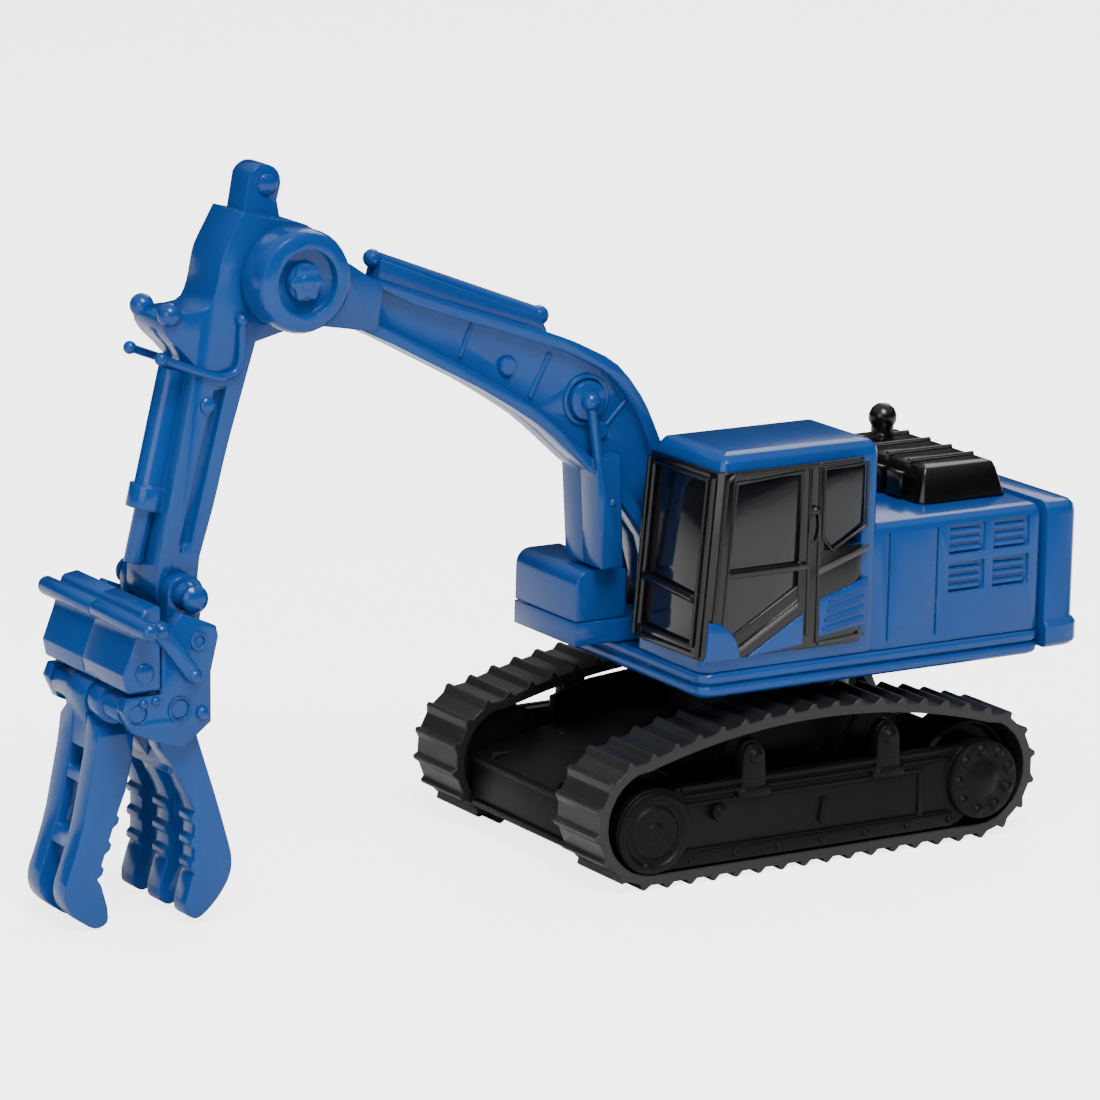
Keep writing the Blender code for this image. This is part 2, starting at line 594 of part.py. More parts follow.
def make_shell():
    """Cab, engine house, right-hand tank and nose, cast as one open-bottomed shell."""
    half = HOUSE_WIDTH / 2
    house = tiers("body_shell", (-half, CAB_REAR_Y - 1.0), (half, DECK_REAR_Y), 1.2,
                  rounded_top(SHELL_BOTTOM, HOUSE_TOP, 1.0))
    cab = tiers("cab_solid", (CAB_RIGHT, CAB_FRONT_Y), (CAB_LEFT, CAB_REAR_Y), 0.9,
                rounded_top(SHELL_BOTTOM, CAB_TOP, 1.2, CAB_LEAN))
    tank = tiers("tank_solid", (-half, TANK_FRONT_Y), (TANK_LEFT, CAB_REAR_Y), 1.2,
                 rounded_top(SHELL_BOTTOM, HOUSE_TOP - 0.1, 1.0))
    bracket_front = FOOT.y - BRACKET_HALF_LENGTH
    floor = block("boom_floor", (TANK_LEFT - 1, bracket_front - 0.8, SHELL_BOTTOM),
                  (CAB_RIGHT + 0.5, CAB_REAR_Y, SHELL_BOTTOM + 0.9))
    nose = block("nose_plate", (NOSE_LEFT - NOSE_WIDTH, NOSE_FRONT_Y, SHELL_BOTTOM + 0.1),
                 (NOSE_LEFT, bracket_front - 0.3, NOSE_TOP))
    join(house, cab, tank, floor, nose)

    wall = HOUSE_WALL
    cab_room = tiers("cab_room", (CAB_RIGHT + wall, CAB_FRONT_Y + wall), (CAB_LEFT - wall, CAB_REAR_Y - wall), 0.5,
                     [(SHELL_BOTTOM - 1, 0, 0), (SHELL_BOTTOM, 0, 0), (CAB_TOP - 1.8, 0, CAB_LEAN), (CAB_TOP - 1.1, 0.6, CAB_LEAN)])
    house_room = block("house_room", (-half + wall, CAB_REAR_Y + 0.2, SHELL_BOTTOM - 1),
                       (half - wall, DECK_REAR_Y - wall, HOUSE_TOP - wall))
    tank_room = block("tank_room", (-half + wall, TANK_FRONT_Y + wall, SHELL_BOTTOM - 1),
                      (TANK_LEFT - wall, CAB_REAR_Y + 1.0, HOUSE_TOP - wall - 0.1))
    head_room = rod("slew_head_room", (0, SLEW_Y, SHELL_BOTTOM - 1), (0, SLEW_Y, DECK_TOP + 1.4), 4.2)
    cut(house, cab_room, house_room, tank_room, head_room)
    for i, (x, y) in enumerate(SCREWS):
        join(house, rod(f"screw_post_{i}", (x, y, SHELL_BOTTOM), (x, y, HOUSE_TOP - wall + 0.3), SCREW_RADIUS + 0.8))
        cut(house, rod(f"screw_post_bore_{i}", (x, y, SHELL_BOTTOM - 1), (x, y, DECK_TOP + 4.0), SCREW_RADIUS + PRESS_GAP))

    cut(house, *window_cutters("shell"))
    for side in (1, -1):
        for i, y in enumerate((0, VENT_PITCH[0])):
            for j, z in enumerate((0, VENT_PITCH[1])):
                rear, top = DECK_REAR_Y - 1.6 - y, HOUSE_TOP - 0.9 - z
                low_x, high_x = sorted((side * (half - VENT_DEPTH), side * (half + 1)))
                cut(house, block(f"vent_{side}_{i}_{j}", (low_x, rear - VENT_LENGTH, top - VENT_HEIGHT), (high_x, rear, top)))
    piece(house, BLUE_PAINT, upper)


def window_cutters(name):
    """Solids that open the cab's five windows, through the shell and through the frame outside it."""
    wall = HOUSE_WALL
    sill, lintel = SHELL_BOTTOM + 1.5, CAB_TOP - 1.9
    front = (CAB_FRONT_Y - 1, CAB_FRONT_Y + wall + CAB_LEAN + 0.4)
    return [
        block(name + "_windscreen", (CAB_RIGHT + 1.2, front[0], sill), (CAB_LEFT - 1.2, front[1], lintel)),
        plate(name + "_door_window", [door_outline()], CAB_LEFT - wall - 1, CAB_LEFT + 1),
        block(name + "_quarter_window", (CAB_LEFT - wall - 1, CAB_REAR_Y - 5.3, SHELL_BOTTOM + 8.6),
              (CAB_LEFT + 1, CAB_REAR_Y - 1.7, lintel)),
        block(name + "_right_window", (CAB_RIGHT - 1, CAB_FRONT_Y + 2.8, SHELL_BOTTOM + 7.5),
              (CAB_RIGHT + wall + 1, CAB_REAR_Y - 2.0, lintel)),
        block(name + "_rear_window", (CAB_RIGHT + 1.4, CAB_REAR_Y - wall - 1, HOUSE_TOP + 0.9),
              (CAB_LEFT - 1.4, CAB_REAR_Y + 1, lintel)),
    ]


def door_outline():
    """The door's window, whose lower edge falls towards the front, in the side view."""
    front, rear = CAB_FRONT_Y + 1.9, CAB_FRONT_Y + 8.3
    top = CAB_TOP - 2.0
    return [(front - 0.4, SHELL_BOTTOM + 2.2), (rear, SHELL_BOTTOM + 6.0), (rear, top), (front + 0.6, top)]


def make_glazing():
    """One smoke-tinted liner that fills every window of the cab from inside."""
    gap = HOUSE_WALL + SEAT_GAP
    low = (CAB_RIGHT + gap, CAB_FRONT_Y + gap + 0.1)
    high = (CAB_LEFT - gap, CAB_REAR_Y - gap)
    liner = tiers("window_liner", low, high, 0.4, [(SHELL_BOTTOM + 0.3, 0, 0), (CAB_TOP - 2.4, 0, CAB_LEAN), (CAB_TOP - 1.6, 0.6, CAB_LEAN)])
    inside = tiers("liner_room", (low[0] + GLASS_THICKNESS, low[1] + GLASS_THICKNESS),
                   (high[0] - GLASS_THICKNESS, high[1] - GLASS_THICKNESS), 0.3,
                   [(SHELL_BOTTOM - 1, 0, 0), (SHELL_BOTTOM + 0.3, 0, 0), (CAB_TOP - 2.4, 0, CAB_LEAN)])
    piece(cut(liner, inside), SMOKE_GLAZING, upper)


def make_cab_frame():
    """The black frame that wraps the cab's front and left side, round the windscreen and the door."""
    def lean_at(height):
        return CAB_LEAN * (height - SHELL_BOTTOM) / (CAB_TOP - 1.2 - SHELL_BOTTOM)

    low_z, high_z = SHELL_BOTTOM + 1.0, CAB_TOP - 1.25
    out, gap = SEAT_GAP + FRAME_THICKNESS, SEAT_GAP
    frame = tiers("cab_frame", (CAB_RIGHT - 3, CAB_FRONT_Y - out), (CAB_LEFT + out, CAB_REAR_Y - 1.2), 0.9 + out,
                  [(z, 0, lean_at(z)) for z in (low_z, high_z)])
    inside = tiers("cab_frame_inside", (CAB_RIGHT - 6, CAB_FRONT_Y - gap), (CAB_LEFT + gap, CAB_REAR_Y + 3), 0.9 + gap,
                   [(z, 0, lean_at(z)) for z in (low_z - 1, high_z + 1)])
    right_end = block("cab_frame_end", (CAB_RIGHT - 5, CAB_FRONT_Y - 3, low_z - 2), (CAB_RIGHT + 0.35, CAB_REAR_Y + 2, high_z + 2))
    windscreen, door, quarter = window_cutters("frame")[:3]
    piece(cut(frame, inside, right_end, windscreen, door, quarter), BLACK_GLOSS, upper)


def make_counterweight():
    half = HOUSE_WIDTH / 2 + 0.1
    low_y = DECK_REAR_Y + SEAT_GAP
    high_y = low_y + COUNTERWEIGHT_LENGTH
    weight = tiers("counterweight", (-half, low_y - 1.5), (half, high_y), 1.5,
                   rounded_top(DECK_BOTTOM + 0.5, HOUSE_TOP, 1.0))
    lip = tiers("counterweight_lip", (-half - LIP, low_y - 1.5), (half + LIP, high_y + LIP), 1.7,
                [(DECK_BOTTOM + 0.35, 0.4, 0), (DECK_BOTTOM + 0.7, 0, 0), (DECK_BOTTOM + 2.1, 0, 0), (DECK_BOTTOM + 2.5, 0.35, 0)])
    front = block("counterweight_front", (-half - 2, low_y - 4, 0), (half + 2, low_y, HOUSE_TOP + 5))
    piece(cut(join(weight, lip), front), BLUE_PAINT, upper)


def make_hood():
    """The black engine hood on the house's roof, with ribs, a grille block and an exhaust stub."""
    bottom, top = HOUSE_TOP + SEAT_GAP, HOUSE_TOP + HOOD_HEIGHT
    low = (HOOD_LEFT - HOOD_WIDTH, HOOD_REAR_Y - HOOD_LENGTH)
    hood = tiers("engine_hood", low, (HOOD_LEFT, HOOD_REAR_Y), 0.9,
                 [(bottom, 0, 0), (top - 0.6, 0.8, 0), (top - 0.15, 1.0, 0), (top, 1.4, 0)])
    for i in range(4):
        x = HOOD_LEFT - 3.0 - i * 2.9
        cut(hood, block(f"hood_groove_{i}", (x - 0.25, low[1] - 1, top - 0.35), (x + 0.25, HOOD_REAR_Y + 1, top + 1)))
    stack_x, stack_y = HOOD_LEFT - HOOD_WIDTH + 2.2, low[1] + 5.2
    stack = rod("exhaust_stub", (stack_x, stack_y, top - 0.8), (stack_x, stack_y, top + 1.2), 0.9)
    join(hood, stack, ball("exhaust_cap", (stack_x, stack_y, top + 1.3), 1.15))
    piece(hood, BLACK_GLOSS, upper)


def make_toolbox():
    bottom = NOSE_TOP + SEAT_GAP
    top = bottom + TOOLBOX_HEIGHT
    rear = NOSE_FRONT_Y + TOOLBOX_LENGTH
    outline = [(NOSE_FRONT_Y + 0.1, bottom), (rear, bottom), (rear, top - 0.3), (rear - 0.6, top)]
    outline += arc((NOSE_FRONT_Y + 1.3, top - 1.2), 1.2, 90, 180, 5)
    box = soften(plate("toolbox", [outline], NOSE_LEFT - TOOLBOX_WIDTH, NOSE_LEFT - 0.1), 0.25)
    piece(box, BLUE_PAINT, upper)


def make_boom_bracket():
    """A fork on the boom floor that holds the boom's foot, and its pin."""
    base_z = SHELL_BOTTOM + 0.9 + SEAT_GAP
    ear = HALF_BOOM + SIDE_GAP
    left_out = CAB_RIGHT - SEAT_GAP
    half = BRACKET_HALF_LENGTH
    base = block("boom_bracket", (-ear - 1.2, FOOT.y - half, base_z), (left_out, FOOT.y + half, base_z + 0.6))
    for name, low, high in (("left_ear", ear, left_out - 0.02), ("right_ear", -ear - 1.18, -ear)):
        shape = [(FOOT.y - half + 0.05, base_z + 0.1), (FOOT.y + half - 0.05, base_z + 0.1)]
        shape += arc((FOOT.y, FOOT.z), half - 0.1, 0, 180, 10)
        join(base, plate(name, [shape], low, high))
    cut(base, rod("foot_pin_hole", (-ear - 3, FOOT.y, FOOT.z), (left_out + 1, FOOT.y, FOOT.z), BOOM_PIN_RADIUS + PRESS_GAP))
    piece(base, BLACK_PLASTIC, upper)
    pin = rod("boom_foot_pin", (-ear - 1.4, FOOT.y, FOOT.z), (left_out, FOOT.y, FOOT.z), BOOM_PIN_RADIUS)
    head = rod("foot_pin_head", (-ear - 1.6, FOOT.y, FOOT.z), (-ear - 1.2 - SEAT_GAP, FOOT.y, FOOT.z), 1.35)
    piece(join(pin, head), STEEL, upper)


# ---------------------------------------------------------------- boom
def from_point(base, *offsets):
    """Side-view points given as (y, z) offsets from a pin or a knee."""
    return [(base.y + dy, base.z + dz) for dy, dz in offsets]


def boom_outline(inset=0.0):
    """The gooseneck between the ears and the foot, or the pocket in its side, which stops above the foot."""
    top = from_point(TIP, (4.6 + inset * 2.2, 0.15 - inset), (11.2, -2.2 - inset))
    top += from_point(KNEE, (-5.8, 6.3 - inset), (-2.7, 5.2 - inset), (0.0, 4.0 - inset * 1.1),
                      (2.45 - inset * 0.6, 2.55 - inset * 0.8), (4.55 - inset * 0.9, 0.05 - inset * 0.4),
                      (5.85 - inset, -2.4))
    top += from_point(FOOT, (-0.6 - inset, 7.6))
    if inset:
        foot = from_point(FOOT, (0.3, 3.0), (-1.8, 3.0))
    else:
        foot = from_point(FOOT, (1.4, 2.4)) + arc((FOOT.y, FOOT.z), BOOM_FOOT_RADIUS, 10, -170, 10)
    under = from_point(FOOT, (-3.4 + inset, 4.2), (-6.6 + inset * 0.8, 8.3 + inset * 0.6))
    under += from_point(KNEE, (-0.15, -5.2 + inset * 1.1), (-2.2, -3.4 + inset * 1.1), (-4.65, -1.3 + inset * 1.1),
                        (-9.75, 1.9 + inset))
    under += from_point(TIP, (9.6, -6.1 + inset), (4.6 + inset * 2.2, -3.7))
    return smooth(top, 2) + foot + smooth(under, 2)


def ram_outline():
    """The boom rams stand under the knee and end just above the toolbox."""
    top = KNEE.z - 4.6
    front = KNEE.y + 0.5
    low = top - RAM_LENGTH
    return [(front, top), (front + 0.6, low), (front + 0.6 + RAM_DEPTH, low), (front + RAM_DEPTH + 0.1, top + 0.3)]


def ear_outline():
    """The ear that carries the drum, drawn in from the tip."""
    return arc((TIP.y, TIP.z), DRUM_RADIUS - 0.5, 75, 250, 14) + from_point(TIP, (7.2, -4.6), (7.6, -1.2))


RIVETS = ((-7.0, 3.2), (1.3, -2.5))     # through both halves, measured from the knee


def make_boom():
    for side in (1, -1):
        name = "boom_left_half" if side > 0 else "boom_right_half"

        def between(low, high):
            return (low, high) if side > 0 else (-high, -low)

        half = plate(name, [boom_outline()], *between(-0.5, HALF_BOOM))
        pocket = plate(name + "_web", [boom_outline(FLANGE)], *between(HALF_BOOM - WEB_DEPTH, HALF_BOOM + 1))
        boss = rod(name + "_boss", (side * 0.5, KNEE.y, KNEE.z), (side * (HALF_BOOM - 0.1), KNEE.y, KNEE.z), 1.5)
        knob = ball(name + "_knob", (side * (HALF_BOOM + 0.1), KNEE.y, KNEE.z), 0.75)
        ram = plate(name + "_ram", [ram_outline()], *between(-0.4, RAM_WIDTH / 2))
        ram_rod = rod(name + "_ram_rod", (side * (HALF_BOOM + 0.1), KNEE.y, KNEE.z),
                      (side * (HALF_BOOM + 0.05), KNEE.y + 0.9, KNEE.z - 5.2), 0.42, sides=12)
        ear = plate(name + "_ear", [ear_outline()], *between(DRUM_INSIDE + 0.05, DRUM_INSIDE + 1.0))
        step = plate(name + "_step", [from_point(TIP, (4.8, -0.6), (7.4, -1.35), (7.0, -4.3), (4.8, -3.3))],
                     *between(HALF_BOOM - WEB_DEPTH - 0.3, DRUM_INSIDE + 0.9))
        drum = turned(name + "_drum", [
            (0.5, DRUM_LENGTH - DRUM_RECESS_DEPTH), (DRUM_RECESS, DRUM_LENGTH - DRUM_RECESS_DEPTH),
            (DRUM_RECESS, DRUM_LENGTH), (DRUM_RADIUS - 0.8, DRUM_LENGTH), (DRUM_RADIUS - 0.23, DRUM_LENGTH - 0.23),
            (DRUM_RADIUS, DRUM_LENGTH - 0.8), (DRUM_RADIUS, 0.3), (DRUM_RADIUS - 0.3, 0), (0.5, 0)])
        if side < 0:
            drum.data.transform(Matrix.Rotation(math.pi, 4, "Z"))
        moved(drum, TIP + Vector((side * DRUM_INSIDE, 0, 0)))
        cut(half, pocket)
        join(half, boss, knob, ram, ram_rod, step, ear, drum)
        other_side = sorted((side * SEAT_GAP / 2, side * -3.0))
        cut(half, block(name + "_seam", (other_side[0], TIP.y - 5, FOOT.z - 5), (other_side[1], FOOT.y + 5, TIP.z + 5)))
        cut(half, rod(name + "_pin_hole", (side * -0.5, TIP.y, TIP.z), (side * (DRUM_OUTSIDE + 1), TIP.y, TIP.z),
                      ARM_PIN_RADIUS + PRESS_GAP),
            rod(name + "_foot_hole", (side * -0.5, FOOT.y, FOOT.z), (side * (HALF_BOOM + 1), FOOT.y, FOOT.z),
                BOOM_PIN_RADIUS + RUNNING_GAP))
        for i, point in enumerate(from_point(KNEE, *RIVETS)):
            reach = side * (HALF_BOOM + 2)
            cut(half, rod(f"{name}_rivet_hole_{i}", (-side * 0.5, *point), (reach, *point), 0.5 + PRESS_GAP, sides=12))
        piece(half, BLUE_PAINT, boom)
    make_hose_cover()
    for i, point in enumerate(from_point(KNEE, *RIVETS)):
        end = HALF_BOOM - WEB_DEPTH
        rivet = rod(f"boom_rivet_{i + 1}", (-end - 0.1, *point), (end + 0.1, *point), 0.5, sides=12)
        for side in (1, -1):
            join(rivet, rod(f"boom_rivet_{i}_{side}", (side * (end + SEAT_GAP), *point), (side * (end + 0.35), *point), 0.8, 0.6, sides=12))
        piece(rivet, BLUE_PAINT, boom)
    reach = DRUM_OUTSIDE - DRUM_RECESS_DEPTH
    pin = rod("arm_pin", (-reach - 0.2, TIP.y, TIP.z), (reach + 0.2, TIP.y, TIP.z), ARM_PIN_RADIUS)
    for side in (1, -1):
        join(pin, rod(f"arm_pin_head_{side}", (side * (reach + SEAT_GAP), TIP.y, TIP.z), (side * (reach + 0.45), TIP.y, TIP.z), 1.5, 1.35))
    piece(pin, BLUE_PAINT, boom)


def make_hose_cover():
    """The ridge that runs along the boom's back, with a knob at each end."""
    start = TIP + Vector((0, 8.6, 0.2))
    end = KNEE + Vector((0, -3.4, 6.5))
    ridge = rod("boom_ridge", start, end, 0.62, sides=12)
    join(ridge, ball("ridge_front_knob", start, 0.72, 12), ball("ridge_rear_knob", end, 0.8, 12))
    seat = from_point(KNEE, (-3.0, 5.45), (-5.8, 6.45)) + from_point(TIP, (11.2, -2.05), (9.0, -1.15))
    foot = plate("ridge_foot", [[(start.y + 0.3, start.z), (end.y - 0.2, end.z)] + seat], -0.55, 0.55)
    piece(join(ridge, foot), BLUE_PAINT, boom)


# ---------------------------------------------------------------- arm
def arm_outline():
    """The arm from its round head, down the front, round the end and up the back."""
    front = from_point(TIP, (-3.5, 4.85), (-5.1, 1.9), (-5.7, -0.7), (-6.6, -2.0), (-9.4, -2.2), (-10.0, -2.9),
                       (-9.4, -4.0), (-7.9, -5.5), (-7.5, -6.9))
    front += from_point(HEAD, (-0.1, 9.0), (-1.55, 2.0))
    end = arc((HEAD.y, HEAD.z), ARM_END_RADIUS, 170, 370, 12)
    back = from_point(HEAD, (1.9, 2.4), (3.0, 6.0), (4.3, 11.0), (6.4, 17.9))
    return smooth(front) + end + smooth(back) + arc((TIP.y, TIP.z), ARM_HEAD_RADIUS, -75, 88, 14)


def make_arm():
    casting = plate("arm", [arm_outline()], -HALF_ARM, HALF_ARM)
    horn = from_point(TIP, (-3.0, 4.2), (0.2, 3.4), (-0.2, 5.4), (0.1, 6.6))
    horn += arc((TIP.y - 1.25, TIP.z + 6.75), 1.35, -5, 155, 8)
    join(casting, plate("arm_horn", [horn], -HORN_WIDTH / 2, HORN_WIDTH / 2))
    # A bucket ram is moulded along the front, with two collars and a slimmer rod.
    top = TIP + Vector((0, -7.9, -6.6))
    low = HEAD + Vector((0, -2.35, 1.9))
    axis = (low - top).normalized()
    length = (low - top).length
    parts_of_ram = (("arm_ram", 0.0, length * 0.72, ARM_RAM_RADIUS), ("arm_ram_collar", length * 0.6, length * 0.72, ARM_RAM_RADIUS + 0.3),
                    ("arm_ram_rod", length * 0.5, length, ARM_RAM_RADIUS - 0.4))
    for name, start, end, radius in parts_of_ram:
        join(casting, rod(name, top + axis * start, top + axis * end, radius))
    slot = from_point(HEAD, (0.2, 3.4), (1.2, 3.4), (4.0, 14.6), (3.0, 14.6))
    for side in (1, -1):
        low_x, high_x = sorted((side * (HALF_ARM - 0.7), side * (HALF_ARM + 1)))
        cut(casting, plate(f"arm_slot_{side}", [slot], low_x, high_x))
    cut(casting, rod("arm_pin_bore", TIP - Vector((4, 0, 0)), TIP + Vector((4, 0, 0)), ARM_PIN_RADIUS + RUNNING_GAP),
        rod("head_pin_bore", HEAD - Vector((4, 0, 0)), HEAD + Vector((4, 0, 0)), HEAD_PIN_RADIUS + RUNNING_GAP))
    piece(casting, BLUE_PAINT, arm)


# ---------------------------------------------------------------- grapple
def make_bracket():
    """Two side plates, a cross beam and two cheeks that hang on the head pin."""
    outline = from_point(HEAD, (-1.0, -0.9), (1.1, -1.8), (1.3, -2.6), (0.7, -5.2), (0.75, -8.9), (-0.4, -9.8), (-1.55, -10.6),
                         (-4.05, -9.8), (-5.7, -9.05), (-6.5, -7.4), (-6.1, -6.45), (-3.3, -6.45), (-3.3, -2.6), (-1.7, -0.6))
    bracket = plate("grapple_bracket", [outline], PLATE_INSIDE, PLATE_OUTSIDE)
    join(bracket, plate("right_side_plate", [outline], -PLATE_OUTSIDE, -PLATE_INSIDE))
    beam = block("cross_beam", (-PLATE_INSIDE - OVERLAP, HEAD.y - 2.4, HEAD.z - 5.0),
                 (PLATE_INSIDE + OVERLAP, HEAD.y + 0.6, HEAD.z - ARM_END_RADIUS - 0.5))
    join(bracket, beam)
    cheek = arc((HEAD.y, HEAD.z), 1.5, 0, 180, 10) + from_point(HEAD, (-1.5, -2.8), (1.0, -2.8))
    for side, low, high in spread(HALF_ARM + SIDE_GAP, HALF_ARM + SIDE_GAP + 1.3):
        join(bracket, plate(f"cheek_{side}", [cheek], low, high))
    reach = Vector((PLATE_OUTSIDE + 1, 0, 0))
    for name, at, radius in (("head_pin_hole", HEAD, HEAD_PIN_RADIUS), ("front_jaw_hole", FRONT_JAW, JAW_PIN_RADIUS),
                             ("rear_jaw_hole", REAR_JAW, JAW_PIN_RADIUS)):
        cut(bracket, rod(name, at - reach, at + reach, radius + PRESS_GAP))
    piece(bracket, BLUE_PAINT, head)


def make_housing():
    """The box in front of the arm's end, with a bar across its top edge."""
    half = HEAD_WIDTH / 2 + 0.2
    outline = from_point(HEAD, (-3.45, 0.2), (-4.9, 0.0), (-5.6, -2.3), (-6.5, -4.7), (-6.2, -6.1), (-3.4, -6.1))
    housing = soften(plate("grapple_housing", [outline], -half, half), 0.2)
    bar = rod("housing_bar", (-half - 1.5, HEAD.y - 5.25, HEAD.z - 1.2), (half + 1.5, HEAD.y - 5.25, HEAD.z - 1.2), 0.72, sides=16)
    piece(join(housing, bar), BLUE_PAINT, head)


def make_pins():
    reach = HALF_ARM + SIDE_GAP + 1.3 + 0.5
    pin = rod("head_pin", HEAD - Vector((reach, 0, 0)), HEAD + Vector((reach, 0, 0)), HEAD_PIN_RADIUS)
    for side in (1, -1):
        start = side * (HALF_ARM + SIDE_GAP + 1.3 + SEAT_GAP)
        join(pin, rod(f"head_pin_cap_{side}", (start, HEAD.y, HEAD.z), (start + side * 0.8, HEAD.y, HEAD.z), 1.1, 0.7))
    piece(pin, BLUE_PAINT, head)
    for name, at in (("front_jaw_pin", FRONT_JAW), ("rear_jaw_pin", REAR_JAW)):
        reach = Vector((PLATE_OUTSIDE - 0.1, 0, 0))
        piece(rod(name, at - reach, at + reach, JAW_PIN_RADIUS), BLUE_PAINT, head)


def jaw_tooth(base, y, z, lean, slope):
    """A small ridge on a tine's gripping side, from below upward. It faces +Y when lean is +1."""
    return from_point(base, (y - slope * 0.5, z - 0.5), (y + lean * 0.3 - slope * 0.2, z - 0.2),
                      (y + lean * 0.3 + slope * 0.2, z + 0.2), (y + slope * 0.5, z + 0.5))


def make_front_jaw():
    """Two tines with a slotted plate between them, on a hub between the side plates."""
    drop = FRONT_JAW_LENGTH
    root = arc((FRONT_JAW.y, FRONT_JAW.z), 1.3, 10, 170, 8)
    outer = from_point(FRONT_JAW, (-1.5, -1.6), (-1.8, -4.0), (-2.7, -drop * 0.52), (-3.6, -drop * 0.7),
                       (-JAW_BULGE, -drop * 0.81), (-4.0, -drop * 0.89), (-3.1, -drop * 0.95), (-1.8, -drop),
                       (-0.75, -drop + 0.35), (-0.75, -drop + 1.5))
    inner = from_point(FRONT_JAW, (-1.25, -drop + 3.2))
    for depth in (12.5, 10.7, 8.8):
        inner += jaw_tooth(FRONT_JAW, -1.4 + (12.5 - depth) * 0.34, -depth, 1, 0.34)
    inner += from_point(FRONT_JAW, (0.7, -6.6), (1.2, -4.4), (1.35, -2.2))
    outline = root + smooth(outer) + inner
    inside, outside = TINE_PITCH / 2 - TINE_WIDTH / 2, TINE_PITCH / 2 + TINE_WIDTH / 2
    jaw = plate("front_jaw", [outline], inside, outside)
    join(jaw, plate("front_jaw_far_tine", [outline], -outside, -inside))
    web = from_point(FRONT_JAW, (-1.35, -1.7), (-1.65, -4.0), (-2.55, -drop * 0.52), (-3.2, -drop * 0.65),
                     (-1.9, -drop * 0.65), (-0.9, -drop * 0.4), (0.5, -1.7))
    join(jaw, plate("front_jaw_web", [web], -inside - OVERLAP, inside + OVERLAP))
    for i, (high, low) in enumerate(((-3.6, -5.3), (-6.1, -9.6))):
        cut(jaw, block(f"front_jaw_slot_{i}", (-inside + 0.05, FRONT_JAW.y - 5, FRONT_JAW.z + low),
                       (inside - 0.05, FRONT_JAW.y + 3, FRONT_JAW.z + high)))
    # The shoulders fall away on both sides of the lug.
    for side, shoulder in ((1, 1.0), (-1, 2.2)):
        points = [(side * shoulder, 2.4), (side * (outside + 1), 2.4), (side * (outside + 1), -2.9), (side * shoulder, -0.9)]
        cut(jaw, across(f"front_jaw_shoulder_{side}", [(x, FRONT_JAW.z + z) for x, z in points],
                        FRONT_JAW.y - 4, FRONT_JAW.y + 4))
    lug = arc((FRONT_JAW.y, FRONT_JAW.z), 1.6, 0, 180, 10) + from_point(FRONT_JAW, (-1.2, -3.2), (0.45, -3.2))
    join(jaw, plate("front_jaw_lug", [lug], -2.15, 0.85))
    hub = Vector((PLATE_INSIDE - SIDE_GAP, 0, 0))
    join(jaw, rod("front_jaw_hub", FRONT_JAW - hub, FRONT_JAW + hub, 1.15),
         rod("front_jaw_collar", FRONT_JAW + Vector((1.1, 0, 0)), FRONT_JAW + Vector((2.8, 0, 0)), 1.5))
    bore = Vector((PLATE_INSIDE + 1, 0, 0))
    cut(jaw, rod("front_jaw_bore", FRONT_JAW - bore, FRONT_JAW + bore, JAW_PIN_RADIUS + RUNNING_GAP))
    piece(jaw, BLUE_PAINT, front_jaw)


def across(name, outline, low_y, high_y):
    """A front-view outline of (x, z) points, extruded along Y."""
    bm = bmesh.new()
    ends = [[bm.verts.new((x, y, z)) for x, z in outline] for y in (low_y, high_y)]
    for i, vert in enumerate(ends[0]):
        j = (i + 1) % len(outline)
        bm.faces.new((vert, ends[0][j], ends[1][j], ends[1][i]))
    bm.faces.new(ends[0])
    bm.faces.new(ends[1])
    return from_bmesh(name, bm)


def make_rear_jaw():
    """Three tines on a wide hub, which close between the front jaw's two."""
    drop = REAR_JAW_LENGTH
    root = arc((REAR_JAW.y, REAR_JAW.z), 1.5, 200, -10, 12)
    outer = from_point(REAR_JAW, (2.1, -2.7), (3.5, -drop * 0.42), (4.6, -drop * 0.64), (5.0, -drop * 0.74),
                       (4.85, -drop * 0.82), (4.1, -drop * 0.9), (3.0, -drop * 0.97), (2.1, -drop),
                       (1.3, -drop + 0.45), (1.25, -drop + 1.4))
    inner = from_point(REAR_JAW, (1.75, -drop + 3.1))
    for depth in (12.4, 10.6, 8.8):
        inner += jaw_tooth(REAR_JAW, 1.95, -depth, -1, 0.0)
    inner += from_point(REAR_JAW, (1.5, -7.2), (0.5, -5.2), (-0.9, -3.2))
    outline = root + smooth(outer) + inner
    hub_end = PLATE_INSIDE - SIDE_GAP
    hub = rod("rear_jaw", REAR_JAW - Vector((hub_end, 0, 0)), REAR_JAW + Vector((hub_end, 0, 0)), 1.4)
    for i in (-1, 0, 1):
        x = i * TINE_PITCH
        join(hub, plate(f"rear_tine_{i}", [outline], x - TINE_WIDTH / 2, x + TINE_WIDTH / 2))
    span = TINE_PITCH
    join(hub, block("rear_jaw_web", (-span, REAR_JAW.y + 0.2, REAR_JAW.z - 5.4), (span, REAR_JAW.y + 1.6, REAR_JAW.z - 1.0)),
         block("rear_jaw_bar", (-span, REAR_JAW.y + 2.5, REAR_JAW.z - 9.6), (span, REAR_JAW.y + 3.6, REAR_JAW.z - 8.2)))
    bore = Vector((PLATE_INSIDE + 1, 0, 0))
    cut(hub, rod("rear_jaw_bore", REAR_JAW - bore, REAR_JAW + bore, JAW_PIN_RADIUS + RUNNING_GAP))
    piece(hub, BLUE_PAINT, rear_jaw)


